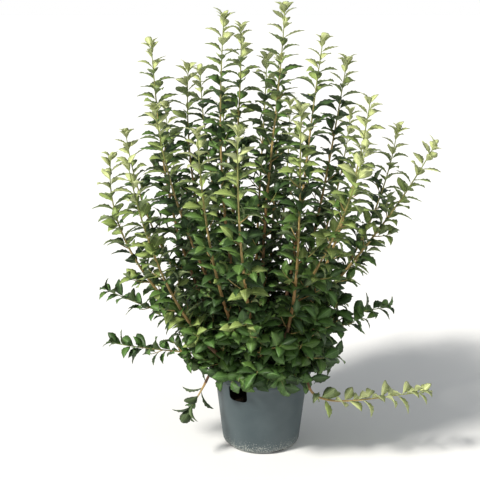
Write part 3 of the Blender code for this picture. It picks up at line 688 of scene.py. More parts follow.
def limb_path(tip, tilt_low, tilt_high, turn):
    """Path of a limb from inside the stool's head to its tip."""
    tip = np.array(tip, dtype=float)
    azimuth = math.atan2(tip[1], tip[0])
    base = azimuth + math.radians(turn)
    return curve_between(from_head(base), tilted(base, tilt_low), tip,
                         tilted(azimuth, tilt_high))


class Limb:
    """One limb of the plant from the stool to its tip."""

    def __init__(self, name, path, radius, kind, pale=0.4, elbow=None):
        self.name = name
        self.path = path
        self.length = arc_lengths(path)[-1]
        self.radius = radius
        self.kind = kind
        self.pale = pale
        self.elbow = elbow
        bare = kind == "cane" and name not in CANES_WITHOUT_BOUGH
        self.bough_end = STUB_LENGTH + BOUGH_SHARE * self.length if bare else 0.0

    def radius_at(self, along):
        share = along / self.length
        if self.bough_end:
            end = self.bough_end / self.length
            if share <= end:
                return self.radius * (1 - (1 - BOUGH_TAPER) * share / end)
            low = self.radius * BOUGH_TAPER
            return low + (STEM_TIP_RADIUS - low) * (share - end) / (1 - end)
        return self.radius + (STEM_TIP_RADIUS - self.radius) * share**STEM_TAPER


def all_limbs():
    limbs = []
    for name, (x, y, z, low, high, turn, pale) in CANES.items():
        path = limb_path((x, y, z), low, high, turn)
        limbs.append(Limb(name, path, CANE_RADIUS, "cane", pale))
    for name, degrees in SKIRT.items():
        turn = math.radians(degrees)
        tip = (SKIRT_REACH * math.cos(turn), SKIRT_REACH * math.sin(turn), SKIRT_TIP_Z)
        limbs.append(Limb(name, limb_path(tip, *SKIRT_TILTS, 0), SKIRT_RADIUS, "skirt"))
    for name, (x, y, z, low, high, turn) in LOW_SHOOTS.items():
        limbs.append(Limb(name, limb_path((x, y, z), low, high, turn), LOW_RADIUS, "low"))
    for name, (elbow, tip) in HANGING.items():
        elbow, tip = np.array(elbow), np.array(tip)
        over = math.atan2(elbow[1], elbow[0])
        down = tilted(over, ELBOW_TILTS[1])
        first = curve_between(from_head(over), tilted(over, ELBOW_TILTS[0]), elbow, down,
                              ELBOW_PULL)
        second = curve_between(elbow, down, tip, unit(tip - elbow), SHOOT_PULL)
        limbs.append(Limb(name, second, LOW_RADIUS, "hanging", elbow=first))
    return limbs


def stem_lines(name, lines):
    """Bare lines that a tree of Geometry Nodes gives their wood.

    A line is its points, the radius at each and the age at each, from 0 green to 1 old."""
    verts, edges, radii, ages = [], [], [], []
    for path, thick, age in lines:
        first = len(verts)
        verts += [tuple(map(float, point)) for point in path]
        edges += [(first + at, first + at + 1) for at in range(len(path) - 1)]
        radii += list(thick)
        ages += list(age)
    mesh = bpy.data.meshes.new(name)
    mesh.from_pydata(verts, edges, [])
    for label, values in (("thickness", radii), ("age", ages)):
        mesh.attributes.new(label, "FLOAT", "POINT").data.foreach_set("value", values)
    return new_object(name, mesh)


def wood_tree():
    """Round wood along lines, with the bark's relief raised on it."""
    tree, sockets, given = geometry_tree(
        "wood", {"Lines": "Geometry", "Sides": "Int", "Relief": "Float", "Grain": "Float",
                 "Bark": "Material"}, "Wood")
    curve = add_node(tree, "GeometryNodeMeshToCurve", {"Mesh": given["Lines"]})
    thick = add_node(tree, "GeometryNodeInputNamedAttribute", {"Name": "thickness"},
                     data_type="FLOAT")
    ring = add_node(tree, "GeometryNodeCurvePrimitiveCircle",
                    {"Resolution": given["Sides"], "Radius": 1.0})
    round_wood = add_node(tree, "GeometryNodeCurveToMesh",
                          {"Curve": curve.outputs[0], "Profile Curve": ring.outputs["Curve"],
                           "Scale": thick.outputs["Attribute"], "Fill Caps": True})
    place = add_node(tree, "GeometryNodeInputPosition").outputs["Position"]
    grain = noise_at(tree, place, given["Grain"], detail=3.0)
    depth = maths(tree, "MULTIPLY", maths(tree, "SUBTRACT", grain, 0.5), given["Relief"])
    normal = add_node(tree, "GeometryNodeInputNormal").outputs["Normal"]
    lift = add_node(tree, "ShaderNodeVectorMath", {0: normal, "Scale": depth},
                    operation="SCALE")
    raised = add_node(tree, "GeometryNodeSetPosition",
                      {"Geometry": round_wood.outputs[0], "Offset": lift.outputs[0]})
    smooth = add_node(tree, "GeometryNodeSetShadeSmooth", {"Geometry": raised.outputs[0]})
    end_tree(tree, smooth.outputs[0], "Wood", (given["Bark"], True))
    return tree, sockets


def bark():
    mat, tree, shader = new_material("bark", roughness=0.72, specular=0.3)
    patches = mottle(tree, broad=70.0, fine=620.0)
    colour = mix_colours(tree, patches["Tone"], BARK_DARK, BARK_LIGHT)
    # raised pores lie across the bark as short pale dashes
    dashes = stretched(tree, object_place(tree), (260, 260, 700))
    pores = add_node(tree, "ShaderNodeTexVoronoi",
                     {"Vector": dashes, "Scale": 1.0}).outputs["Distance"]
    spots = ranged(tree, pores, start=0.22, end=0.12, high=0.5)
    colour = mix_colours(tree, spots, colour, PORE)
    tree.links.new(colour, shader.inputs["Base Color"])
    add_bump(tree, shader, patches["Height"], depth=0.0006, strength=0.8)
    return mat


def scarred(radius, place):
    """A bough's radius with the ring-shaped swelling at each old leaf scar."""
    scar = abs((place / SCAR_SPACING) % 1 - 0.5) * 2
    return radius * (1 + SCAR_SWELL * max(scar - (1 - SCAR_SHARE), 0) / SCAR_SHARE)


def stool_mesh():
    """Flared stem on the potting mix, the source's rings with the relief of bark."""
    heights, radii, lobes = (np.array(column) for column in zip(*STOOL_RINGS))
    verts = []
    for height in np.linspace(0, heights[-1], STOOL_ROWS):
        radius = np.interp(height, heights, radii)
        lobe = np.interp(height, heights, lobes)
        for side in range(STOOL_SIDES):
            turn = 2 * math.pi * side / STOOL_SIDES
            wave = 1 + lobe * math.cos(ROOT_LOBES * turn + LOBE_PHASE)
            wobble = 1 + BARK_WAVE * math.sin(BARK_WAVES * turn + BARK_TWIST * height)
            crack = noise.fractal((CRACK_SCALE * math.cos(turn), CRACK_SCALE * math.sin(turn),
                                   height * CRACK_SCALE_UP), *CRACK_NOISE)
            reach = radius * wave * wobble * (1 + CRACK_DEPTH * crack)
            verts.append((reach * math.cos(turn) + STOOL_LEAN * height,
                          reach * math.sin(turn), MIX_TOP + GAP + height))
    faces = [tuple(range(STOOL_SIDES - 1, -1, -1))]
    for low in range(0, (STOOL_ROWS - 1) * STOOL_SIDES, STOOL_SIDES):
        for side in range(STOOL_SIDES):
            after = (side + 1) % STOOL_SIDES
            faces.append((low + side, low + after, low + STOOL_SIDES + after,
                          low + STOOL_SIDES + side))
    faces.append(tuple(range((STOOL_ROWS - 1) * STOOL_SIDES, STOOL_ROWS * STOOL_SIDES)))
    return verts, faces


limbs = all_limbs()
bark_finish = bark()
stool = mesh_object("stool_bark", *stool_mesh())
stool.data.materials.append(bark_finish)
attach(stool, "root")
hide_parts("root_stool")

bough_lines = []
for limb in limbs:
    hangs = limb.kind == "hanging"
    path = limb.elbow if hangs else limb.path
    end = arc_lengths(path)[-1] if hangs else max(limb.bough_end, STUB_LENGTH)
    wood = between(path, 0.0, end, BOUGH_STEP)
    radii = [scarred(limb.radius if hangs else limb.radius_at(place), place)
             for place in np.linspace(0.0, end, len(wood))]
    bough_lines.append((wood, radii, [1.0] * len(wood)))
boughs = stem_lines("bough_bark", bough_lines)
grow(boughs, *wood_tree(), {"Sides": BOUGH_SIDES, "Relief": BARK_RELIEF, "Grain": BARK_GRAIN,
                            "Bark": bark_finish})
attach(boughs, "root")
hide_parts(*[name for name in frame["nodes"] if name.startswith("bough_")])

# Young stems and twigs
# The leafy part of every cane, smooth, from ochre brown through straw yellow to a soft
# green tip. Side twigs stand on all but its top, spurs on the bough below it, and twigs of
# the skirt hang over the pot's rim.
STEM_SIDES = 7
STEM_RELIEF = 0.0003
STEM_GRAIN = 260.0
TWIG_SEED = 4000
TWIG_RADIUS = 0.0016
TWIG_TIP_SHARE = 0.7
TWIG_RISE = math.radians(38)
TWIG_PULL = 0.33
TWIG_LEAN = 0.25
TWIG_UPTURN = 0.9
TWIG_LENGTH_JITTER = (0.7, 1.15)
TWIG_SPACING_JITTER = (0.75, 1.25)
TWIG_BOX_MARGIN = 0.045
# Side twigs: the first and last place as a share of the stem, spacing, and the lengths of
# the lowest and the highest. Spurs start at a fixed place and end where the twigs begin,
# and the skirt's twigs start at a fixed place and end a little short of its tip.
CANE_TWIGS = (0.28, 0.78, 0.052, (0.095, 0.035))
SPUR_FIRST = 0.055
SPUR_SPACING = 0.032
SPUR_LENGTHS = (0.062, 0.062)
SKIRT_TWIG_FIRST = 0.075
SKIRT_TWIG_END = 0.03
SKIRT_TWIG_SPACING = 0.022
SKIRT_TWIG_LENGTHS = (0.105, 0.7 * 0.105)
LOW_TWIGS = (0.42, 0.8, 0.060, (0.045, 0.045))
# Twigs over the rim: degrees to the side, and how far along the skirt shoot they start
RIM_TWIGS = ((-20, 0.066), (-7, 0.085), (8, 0.072), (20, 0.09))
RIM_TWIG_REACH = 0.176
RIM_TWIG_Z = 0.236
RIM_TWIG_Z_JITTER = (-0.008, 0.012)
RIM_TWIG_TURN_JITTER = 4
RIM_TWIG_TILTS = (58, 128)
RIM_TWIG_PULL = 0.4
# Where the leaves start on the stem of each kind of limb, and on a twig
LEAF_STARTS = {"cane": 0.010, "skirt": 0.020, "low": 0.085, "hanging": 0.014}
TWIG_LEAF_START = 0.012
# A direction that no stem sets off in, which fixes where its first side points
SIDE_HINT = (0.31, 0.95, 0.05)
GOLDEN_TURN = math.radians(137.5)
TURN_JITTER = math.radians(12)
FLAT_SHOOT_LEAN = 0.35
FLAT_SHOOT_SQUASH = 0.35
RIM_GAP = 0.006
OVER_RIM = 0.003
GROUND_GAP = 0.012
OVER_MIX = 0.008
# Ages of the wood from 0 green to 1 old, where each stem starts
CANE_AGE = 1.15
PALE_CANE_YOUNGER = 0.7
SHOOT_AGE = 0.6
TWIG_AGE = 0.45
AGE_FADE = 1.6
STEM_BROWN = (0.165, 0.088, 0.044)
STEM_COLOURS = (
    # age, colour
    (0.0, (0.250, 0.330, 0.100)),
    (0.18, (0.520, 0.400, 0.150)),
    (0.6, (0.400, 0.230, 0.085)),
    (1.0, STEM_BROWN),
)


def frames(path):
    """Tangent and two side directions at each point, without twist."""
    tangents = np.gradient(path, axis=0)
    tangents /= np.linalg.norm(tangents, axis=1)[:, None]
    side = np.cross(tangents[0], SIDE_HINT)
    sides = []
    for tangent in tangents:
        side = unit(side - tangent * side.dot(tangent))
        sides.append(side)
    sides = np.array(sides)
    return tangents, sides, np.cross(tangents, sides)


def growth_way(axes, turn, rise):
    """The way a leaf or twig leaves its stem, flatter on shoots that lie flat."""
    tangent, across, over = axes
    radial = math.cos(turn) * across + math.sin(turn) * over
    lean = 1.0 - abs(tangent[2])
    if lean > FLAT_SHOOT_LEAN:
        radial = radial * np.array([1, 1, FLAT_SHOOT_SQUASH])
        radial = unit(radial - tangent * radial.dot(tangent))
    return unit(math.cos(rise) * radial + math.sin(rise) * tangent), lean


def clear_of_pot(points):
    """Whether places keep off the pot's wall, the mix and the ground."""
    reach = np.hypot(points[:, 0], points[:, 1])
    height = points[:, 2]
    over_rim = height > POT_HEIGHT + OVER_RIM
    outside = (reach > RIM_RADIUS + RIM_GAP) & (height > GROUND_GAP)
    inside = (reach < WALL_FOOT_RADIUS) & (height > MIX_TOP + OVER_MIX)
    return bool(np.all(over_rim | outside | inside))


def in_reach(points, margin=0.0):
    """Whether places keep inside the box of the solids."""
    low, high = (np.array(corner) for corner in cad_box)
    return bool(np.all(points > low + margin) and np.all(points < high - margin))


class Shoot:
    """A stem, of rank 0, or a twig that carries leaves from a place near its start."""

    def __init__(self, limb, path, start, rank, radii=None):
        self.limb = limb
        self.path = path
        self.start = start
        self.rank = rank
        self.radii = radii
        self.length = arc_lengths(path)[-1]

    def wood(self):
        """The shoot's line, with the radius and the age at each of its points."""
        share = np.linspace(0, 1, len(self.path))
        if self.rank:
            return self.path, np.interp(share, (0, 1), self.radii), TWIG_AGE * (1 - share)
        limb = self.limb
        first = limb.length - self.length
        radii = [limb.radius_at(first + place * self.length) for place in share]
        age = CANE_AGE - PALE_CANE_YOUNGER * limb.pale if limb.kind == "cane" else SHOOT_AGE
        return self.path, radii, age * (1 - share) ** AGE_FADE


def side_twigs(limb, first, last, spacing, lengths, rng):
    """Twigs set round a stem by the golden turn, each a short arc that rises to its tip."""
    rows = frames(limb.path)
    along = arc_lengths(limb.path)
    turn = rng.uniform(0, 2 * math.pi)
    place = first
    twigs = []
    while place < last:
        share = (place - first) / (last - first)
        spot = at_length(limb.path, along, place)
        axes = [unit(at_length(row, along, place)) for row in rows]
        tangent = axes[0]
        turn += GOLDEN_TURN + rng.uniform(-TURN_JITTER, TURN_JITTER)
        way, _ = growth_way(axes, turn, TWIG_RISE)
        length = lengths[0] + (lengths[1] - lengths[0]) * share
        length *= rng.uniform(*TWIG_LENGTH_JITTER)
        tip = spot + length * unit(way + TWIG_LEAN * tangent)
        line = curve_between(spot, way, tip, unit(way + TWIG_UPTURN * tangent), TWIG_PULL)
        if clear_of_pot(line) and in_reach(line, TWIG_BOX_MARGIN):
            twigs.append(Shoot(limb, line, TWIG_LEAF_START, 1,
                               (TWIG_RADIUS, STEM_TIP_RADIUS * TWIG_TIP_SHARE)))
        place += spacing * rng.uniform(*TWIG_SPACING_JITTER)
    return twigs


def rim_twigs(limb, rng):
    """Twigs that reach over the pot's rim from a skirt shoot and hang a little."""
    along = arc_lengths(limb.path)
    twigs = []
    for swing, place in RIM_TWIGS:
        spot = at_length(limb.path, along, place)
        swing += rng.uniform(-RIM_TWIG_TURN_JITTER, RIM_TWIG_TURN_JITTER)
        azimuth = math.atan2(spot[1], spot[0]) + math.radians(swing)
        tip = RIM_TWIG_REACH * np.array([math.cos(azimuth), math.sin(azimuth), 0.0])
        tip[2] = RIM_TWIG_Z + rng.uniform(*RIM_TWIG_Z_JITTER)
        low, high = (tilted(azimuth, tilt) for tilt in RIM_TWIG_TILTS)
        line = curve_between(spot, low, tip, high, RIM_TWIG_PULL)
        if clear_of_pot(line):
            twigs.append(Shoot(limb, line, TWIG_LEAF_START, 2, (TWIG_RADIUS, STEM_TIP_RADIUS)))
    return twigs


def shoots_of(limb, rng):
    """The leafy stem that a limb ends in, and its side twigs."""
    path = limb.path
    if limb.kind != "hanging":
        path = between(path, limb.bough_end or STUB_LENGTH, limb.length)
    found = [Shoot(limb, path, LEAF_STARTS[limb.kind], 0)]
    if limb.kind in ("cane", "low"):
        first, last, spacing, lengths = CANE_TWIGS if limb.kind == "cane" else LOW_TWIGS
        first *= limb.length
        found += side_twigs(limb, first, last * limb.length, spacing, lengths, rng)
    if limb.kind == "cane":
        found += side_twigs(limb, SPUR_FIRST, first, SPUR_SPACING, SPUR_LENGTHS, rng)
    if limb.kind == "skirt":
        found += side_twigs(limb, SKIRT_TWIG_FIRST, limb.length - SKIRT_TWIG_END,
                            SKIRT_TWIG_SPACING, SKIRT_TWIG_LENGTHS, rng)
        found += rim_twigs(limb, rng)
    return found


def green_wood():
    mat, tree, shader = new_material("young_stem", roughness=0.5, specular=0.4)
    age = add_node(tree, "ShaderNodeAttribute", attribute_name="age").outputs["Fac"]
    ramp = add_node(tree, "ShaderNodeValToRGB", {"Fac": age})
    elements = ramp.color_ramp.elements
    while len(elements) < len(STEM_COLOURS):
        elements.new(0.5)
    for element, (position, colour) in zip(elements, STEM_COLOURS):
        element.position = position
        element.color = (*colour, 1.0)
    patches = mottle(tree, broad=130.0, fine=900.0)
    shade = ranged(tree, patches["Tone"], low=0.35, high=0.0)
    colour = mix_colours(tree, shade, ramp.outputs["Color"], STEM_BROWN)
    tree.links.new(colour, shader.inputs["Base Color"])
    add_bump(tree, shader, patches["Height"], depth=0.0003)
    return mat


shoots = []
for index, limb in enumerate(limbs):
    shoots += shoots_of(limb, random.Random(TWIG_SEED + index))
stems = stem_lines("young_stems", [shoot.wood() for shoot in shoots])
grow(stems, *wood_tree(), {"Sides": STEM_SIDES, "Relief": STEM_RELIEF, "Grain": STEM_GRAIN,
                           "Bark": green_wood()})
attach(stems, "root")
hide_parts(*[name for name in frame["nodes"] if name.startswith("foliage_")])

# Leaves
# Oval leaves with a drawn-out tip, finely toothed edges and a short stalk, folded a little
# on the midrib and arching outwards. They stand round each stem by the golden turn, small
# and pale at its tip, larger and greener below, and of a greyer green underneath. Some take
# a paler green that is painted light, and some a dark green that is painted shade, most of
# all low in the middle of the bush.
LEAF_OUTLINE = (
    # along the blade, half width as a share of the widest
    (0.00, 0.00),
    (0.08, 0.34),
    (0.20, 0.70),
    (0.34, 0.94),
    (0.46, 1.00),
    (0.60, 0.90),
    (0.74, 0.65),
    (0.87, 0.32),
    (0.94, 0.13),
    (1.00, 0.00),
)
# Sizes of a blade of length 1
STALK_SHARE = 0.09
STALK_HALF_WIDTH = 0.014
STALK_RISE = 0.006
RIB_STATIONS = (0.0, 0.18, 0.38, 0.58, 0.78, 1.0)
RIB_DEPTH = 0.014
RIB_THINNING = 0.6
TOOTH = 0.035
VEIN_WAVE = 0.012
# Blade shapes: half width, fold of the edges, bend along the blade in degrees
BLADES = (
    (0.205, 0.34, 60),
    (0.235, 0.50, 74),
    (0.252, 0.36, 56),
    (0.265, 0.24, 44),
    (0.270, 0.14, 28),
)
# The narrow blades come first. Leaves at a stem's tip have these, and the skirt's never do
NARROW_BLADES = 2
# On each kind of limb: spacing, size when grown and at the tip, and degrees that a leaf
# rises from square to its stem, low down and at the tip
LEAF_RULES = {
    "cane": (0.0108, 0.062, 0.037, 16, 40),
    "skirt": (0.0120, 0.073, 0.0584, 14, 28),
    "low": (0.0118, 0.058, 0.0435, 24, 34),
    "hanging": (0.0118, 0.058, 0.0435, 24, 34),
}
SPRIG_LEAF = 0.064
TWIG_LEAF_SPACING = 0.0118
TWIG_LEAF_SHARE = 0.88
TWIG_TIP_LEAF_SHARE = 0.75
GROWING_ZONE = 0.085
TIP_GAP = 0.002
SIZE_JITTER = (0.86, 1.1)
SPACING_JITTER = (0.8, 1.2)
RISE_JITTER = 0.14
ROLL_JITTER = 0.38
TUFT_ZONE = 0.020
TUFT_SPACING = 0.0028
TUFT_RISE = 0.12
FACE_UP = 1.4
TURNS_TRIED = (0.0, 0.5, -0.5, 1.0, -1.0)
CROWN_SHARE = 0.1
HALF_WIDTH_SHARE = 0.22
LEAF_SEED = 9000
# Leaves share a colour by spray. Young ones and ones of the paler green that is painted
# light reach down from a cane's tip by a zone times a share, and further by a second share
# the paler the cane is
SPRAY_LEAVES = 5
YOUNG_ZONE = 0.075
YOUNG_SHARES = (0.6, 1.2)
PAINTED_LIGHT_ZONE = 0.20
PAINTED_LIGHT_ZONE_SHARES = (0.35, 1.4)
PALE_SHOOT = "low_right_long"
PALE_SHOOT_YOUNG_ZONE = 0.17
PALE_SHOOT_YOUNG_SHARE = 0.45
SKIRT_SHARE = 0.6
# Skirt leaves that miss the skirt green take the mid green once in three and the painted shade
# green twice in three.
SKIRT_OTHERS = ("green", "deep", "deep")
# Low in the middle of the bush, under this height and inside this reach, this share of leaves
# takes the painted shade green and the rest the mid green.
INNER_Z = 0.62
INNER_REACH = 0.20
INNER_PAINTED_SHADE_SHARE = 0.55
# Elsewhere on a cane, this share times the cane's paleness takes the painted light green, the
# next share the mid green, and the rest the painted shade green.
PAINTED_LIGHT_SHARE = 0.50
GREEN_SHARE = 0.45
LEAF_COLOURS = {
    # low and high tone of the upper face, then the underside
    "young": ((0.440, 0.520, 0.180), (0.600, 0.660, 0.310), (0.470, 0.520, 0.260)),
    "light": ((0.210, 0.300, 0.074), (0.330, 0.415, 0.125), (0.250, 0.320, 0.140)),
    # Paler green for mature leaves in full light: painted light, on the upper face and the
    # underside.
    "green": ((0.068, 0.145, 0.028), (0.125, 0.225, 0.048), (0.155, 0.215, 0.095)),
    # Dark green for leaves in shade: painted shade, on the upper face and the underside.
    "deep": ((0.020, 0.052, 0.012), (0.048, 0.102, 0.023), (0.080, 0.120, 0.050)),
    "skirt": ((0.045, 0.113, 0.022), (0.098, 0.200, 0.041), (0.135, 0.200, 0.080)),
}
UNDER_LOW_TONE = 0.85
UPPER_ROUGHNESS = 0.48
UNDER_ROUGHNESS = 0.68
# The paler net of veins, in shares of the blade's length
MIDRIB_EDGE = (0.016, 0.004)
VEIN_SLANT = -1.1
VEIN_SPACING = 0.055
VEIN_EDGE = (0.010, 0.002)
VEIN_PALER = 1.6
VEIN_LIGHT = 0.02


def blade_mesh(index, half_width, fold, bend):
    """Closed leaf of length 1 along +Y with its upper face to +Z."""
    shares, widths = zip(*LEAF_OUTLINE)
    total_turn = math.radians(bend)
    verts, faces, under, uvs = [], [], [], []

    def vert(along, across, lift=0.0):
        """Adds a flat place, carried onto the folded and arching blade."""
        angle = total_turn * (0.5 - along)
        y = (math.sin(total_turn / 2) - math.sin(angle)) / total_turn
        z = (math.cos(angle) - math.cos(total_turn / 2)) / total_turn
        z += fold * abs(across) + lift
        verts.append((across, y, z))
        uvs.append((0.5 + across, along))
        return len(verts) - 1

    def edge(share, sign, tooth, lift):
        """Adds a place on the blade's edge, out on a tooth or in between two."""
        half = np.interp(share, shares, widths) * half_width * (1 + tooth)
        return vert(STALK_SHARE + (1 - STALK_SHARE) * share, sign * half, lift)

    rib_up, rib_down = [], []
    for along in (0.0, *[STALK_SHARE + (1 - STALK_SHARE) * s for s in RIB_STATIONS[:-1]]):
        rib_up.append(vert(along, 0.0, STALK_RISE if along <= STALK_SHARE else 0.0))
        rib_down.append(vert(along, 0.0, -RIB_DEPTH * (1 - RIB_THINNING * along)))
    tip = vert(1.0, 0.0)
    rib_up.append(tip)
    rib_down.append(tip)
    feet = []
    for sign in (1, -1):
        foot = vert(0.0, sign * STALK_HALF_WIDTH)
        last = vert(STALK_SHARE, sign * STALK_HALF_WIDTH)
        feet.append(foot)
        rows = [(foot, last)]
        for low, high in zip(RIB_STATIONS[:-1], RIB_STATIONS[1:]):
            middle = edge((low + high) / 2, sign, TOOTH, VEIN_WAVE)
            after = edge(high, sign, -TOOTH, -VEIN_WAVE) if high < 1.0 else tip
            rows.append((last, middle, after))
            last = after
        for at, row in enumerate(rows):
            for rib, is_under in ((rib_up, False), (rib_down, True)):
                low, high = rib[at], rib[at + 1]
                if len(row) == 2:
                    shapes = [(low, *row, high)]
                else:
                    shapes = [(low, row[0], row[1]), (low, row[1], high)]
                    if high != row[2]:
                        shapes.append((high, row[1], row[2]))
                for shape in shapes:
                    faces.append(tuple(reversed(shape)) if (sign > 0) == is_under else shape)
                    under.append(is_under)
    faces.append((rib_up[0], feet[1], rib_down[0], feet[0]))
    under.append(True)
    blade = mesh_object(f"blade_{index}", verts, faces)
    mesh = blade.data
    mesh.attributes.new("underside", "BOOLEAN", "FACE").data.foreach_set("value", under)
    layer = mesh.uv_layers.new(name="UVMap")
    for loop in mesh.loops:
        layer.data[loop.index].uv = uvs[loop.vertex_index]
    return blade


def leaf_finish(name, low, high, roughness):
    """Leaf skin: a tone for each leaf, broad patches, and the paler net of veins."""
    mat, tree, shader = new_material(name, roughness, specular=0.45)
    tone = add_node(tree, "ShaderNodeAttribute", attribute_name="tone").outputs["Fac"]
    patches = mottle(tree, broad=85.0, fine=700.0)
    blend = maths(tree, "MULTIPLY", maths(tree, "ADD", tone, patches["Tone"]), 0.5)
    colour = mix_colours(tree, blend, low, high)
    uv = add_node(tree, "ShaderNodeUVMap", uv_map="UVMap").outputs["UV"]
    parts = add_node(tree, "ShaderNodeSeparateXYZ", {"Vector": uv}).outputs
    across = maths(tree, "ABSOLUTE", maths(tree, "SUBTRACT", parts["X"], 0.5))
    rib = ranged(tree, across, *MIDRIB_EDGE, high=0.75)
    slant = maths(tree, "MULTIPLY_ADD", across, VEIN_SLANT, parts["Y"])
    rows = maths(tree, "PINGPONG", slant, VEIN_SPACING)
    veins = ranged(tree, rows, *VEIN_EDGE, high=0.4)
    pale = tuple(min(1.0, channel * VEIN_PALER + VEIN_LIGHT) for channel in high)
    colour = mix_colours(tree, maths(tree, "MAXIMUM", rib, veins), colour, pale)
    tree.links.new(colour, shader.inputs["Base Color"])
    add_bump(tree, shader, rows, depth=0.004, strength=0.5)
    return mat


def leaf_tree():
    """Sets a blade on every point, turned, sized and chosen by the point's own values."""
    tree, sockets, given = geometry_tree(
        "leaves", {"Places": "Geometry", "Blades": "Collection", "Upper face": "Material",
                   "Underside": "Material"}, "Leaves")
    values = {}
    for name, kind in (("turned", "FLOAT_VECTOR"), ("size", "FLOAT"), ("shape", "INT"),
                       ("underside", "BOOLEAN")):
        node = add_node(tree, "GeometryNodeInputNamedAttribute", {"Name": name},
                        data_type=kind)
        values[name] = node.outputs["Attribute"]
    blades = add_node(tree, "GeometryNodeCollectionInfo",
                      {"Collection": given["Blades"], "Separate Children": True,
                       "Reset Children": True})
    rotation = add_node(tree, "FunctionNodeEulerToRotation", {"Euler": values["turned"]})
    placed = add_node(tree, "GeometryNodeInstanceOnPoints",
                      {"Points": given["Places"], "Instance": blades.outputs[0],
                       "Pick Instance": True, "Instance Index": values["shape"],
                       "Rotation": rotation.outputs[0], "Scale": values["size"]})
    end_tree(tree, placed.outputs[0], "Leaves", (given["Upper face"], True),
             (given["Underside"], values["underside"]))
    return tree, sockets


def spray_kind(limb, spot, to_tip, rank, rng):
    """The colour that one spray of leaves takes, by where it grows."""
    if limb.name == PALE_SHOOT:
        young = to_tip < PALE_SHOOT_YOUNG_ZONE or rng.random() < PALE_SHOOT_YOUNG_SHARE
        return "young" if young else "light"
    # Skirt, low and hanging shoots: mostly the skirt green, else the mid green once in three and
    # the painted shade green twice in three.
    if limb.kind != "cane":
        return "skirt" if rng.random() < SKIRT_SHARE else rng.choice(SKIRT_OTHERS)
    # Near a cane's tip: the young green, then the paler green of painted light.
    if rank == 0:
        for kind, zone, shares in (("young", YOUNG_ZONE, YOUNG_SHARES),
                                   ("light", PAINTED_LIGHT_ZONE, PAINTED_LIGHT_ZONE_SHARES)):
            if to_tip < zone * (shares[0] + shares[1] * limb.pale):
                return kind
    draw = rng.random()
    # Low in the middle of the bush: mostly the dark green of painted shade.
    if spot[2] < INNER_Z and math.hypot(spot[0], spot[1]) < INNER_REACH:
        return "deep" if draw < INNER_PAINTED_SHADE_SHARE else "green"
    # Elsewhere: the painted light green, more often on paler canes, then the mid green, and the
    # rest the painted shade green.
    light = PAINTED_LIGHT_SHARE * limb.pale
    if draw < light:
        return "light"
    return "green" if draw < light + GREEN_SHARE else "deep"


def leaf_lie(spot, axes, turn, rise, roll, size):
    """A leaf's turn where it clears the pot and the box, tried to either side, or None."""
    for shift in TURNS_TRIED:
        way, lean = growth_way(axes, turn + shift, rise)
        face = axes[0] + np.array([0, 0, FACE_UP * lean])
        face = unit(face - way * face.dot(way))
        face = math.cos(roll) * face + math.sin(roll) * np.cross(way, face)
        side = np.cross(way, face)
        middle = spot + 0.5 * size * way + CROWN_SHARE * size * face
        half = HALF_WIDTH_SHARE * size * side
        probe = np.array([spot + size * way, middle + half, middle - half, middle])
        if clear_of_pot(probe) and in_reach(probe):
            return tuple(Matrix(np.stack([side, way, face], axis=1).tolist()).to_euler())
    return None


def leaf_rule(shoot):
    """Spacing, grown and tip size, and both rises in radians of one shoot's leaves."""
    spacing, large, small, *rises = LEAF_RULES[shoot.limb.kind]
    if shoot.limb.name == "rim_sprig":
        large, small = SPRIG_LEAF, SPRIG_LEAF
    if shoot.rank:
        spacing = TWIG_LEAF_SPACING
        large, small = TWIG_LEAF_SHARE * large, TWIG_TIP_LEAF_SHARE * large
    return spacing, large, small, [math.radians(rise) for rise in rises]


def place_leaves(shoot, rng, collected):
    """Leaves round one shoot by the source's rule, closer set and in their real size."""
    limb = shoot.limb
    spacing, large, small, rises = leaf_rule(shoot)
    rows = frames(shoot.path)
    along = arc_lengths(shoot.path)
    turn = rng.uniform(0, 2 * math.pi)
    place = shoot.start
    number = 0
    kind = None
    while place < shoot.length - TIP_GAP:
        to_tip = shoot.length - place
        spot = at_length(shoot.path, along, place)
        axes = [unit(at_length(row, along, place)) for row in rows]
        if number % SPRAY_LEAVES == 0 or to_tip < YOUNG_ZONE:
            kind = spray_kind(limb, spot, to_tip, shoot.rank, rng)
        number += 1
        turn += GOLDEN_TURN + rng.uniform(-TURN_JITTER, TURN_JITTER)
        grown = min(to_tip / GROWING_ZONE, 1.0)
        size = (small + (large - small) * grown) * rng.uniform(*SIZE_JITTER)
        rise = rises[0] + (rises[1] - rises[0]) * (1 - grown)
        rise += rng.uniform(-RISE_JITTER, RISE_JITTER)
        if to_tip < TUFT_ZONE:
            rise += TUFT_RISE * (1 - to_tip / TUFT_ZONE)
        roll = rng.uniform(-ROLL_JITTER, ROLL_JITTER)
        turned = leaf_lie(spot, axes, turn, rise, roll, size)
        if turned is not None:
            shape = rng.randrange(NARROW_BLADES if limb.kind == "skirt" else 0, len(BLADES))
            if to_tip < TUFT_ZONE and limb.kind != "skirt":
                shape = rng.randrange(NARROW_BLADES)
            collected[kind].append((spot, turned, size, shape, rng.random(), limb.name))
        step = TUFT_SPACING if to_tip < TUFT_ZONE and shoot.rank == 0 else spacing
        place += step * rng.uniform(*SPACING_JITTER)


def leaf_piece(name, rows, upper, underside, blades):
    mesh = bpy.data.meshes.new(name)
    mesh.from_pydata([tuple(map(float, row[0])) for row in rows], [], [])
    for label, kind, field, column in (("turned", "FLOAT_VECTOR", "vector", 1),
                                       ("size", "FLOAT", "value", 2),
                                       ("shape", "INT", "value", 3),
                                       ("tone", "FLOAT", "value", 4)):
        values = np.array([row[column] for row in rows]).ravel()
        mesh.attributes.new(label, kind, "POINT").data.foreach_set(field, values)
    obj = new_object(name, mesh)
    grow(obj, *leaf_tree(), {"Blades": blades, "Upper face": upper, "Underside": underside})
    return obj


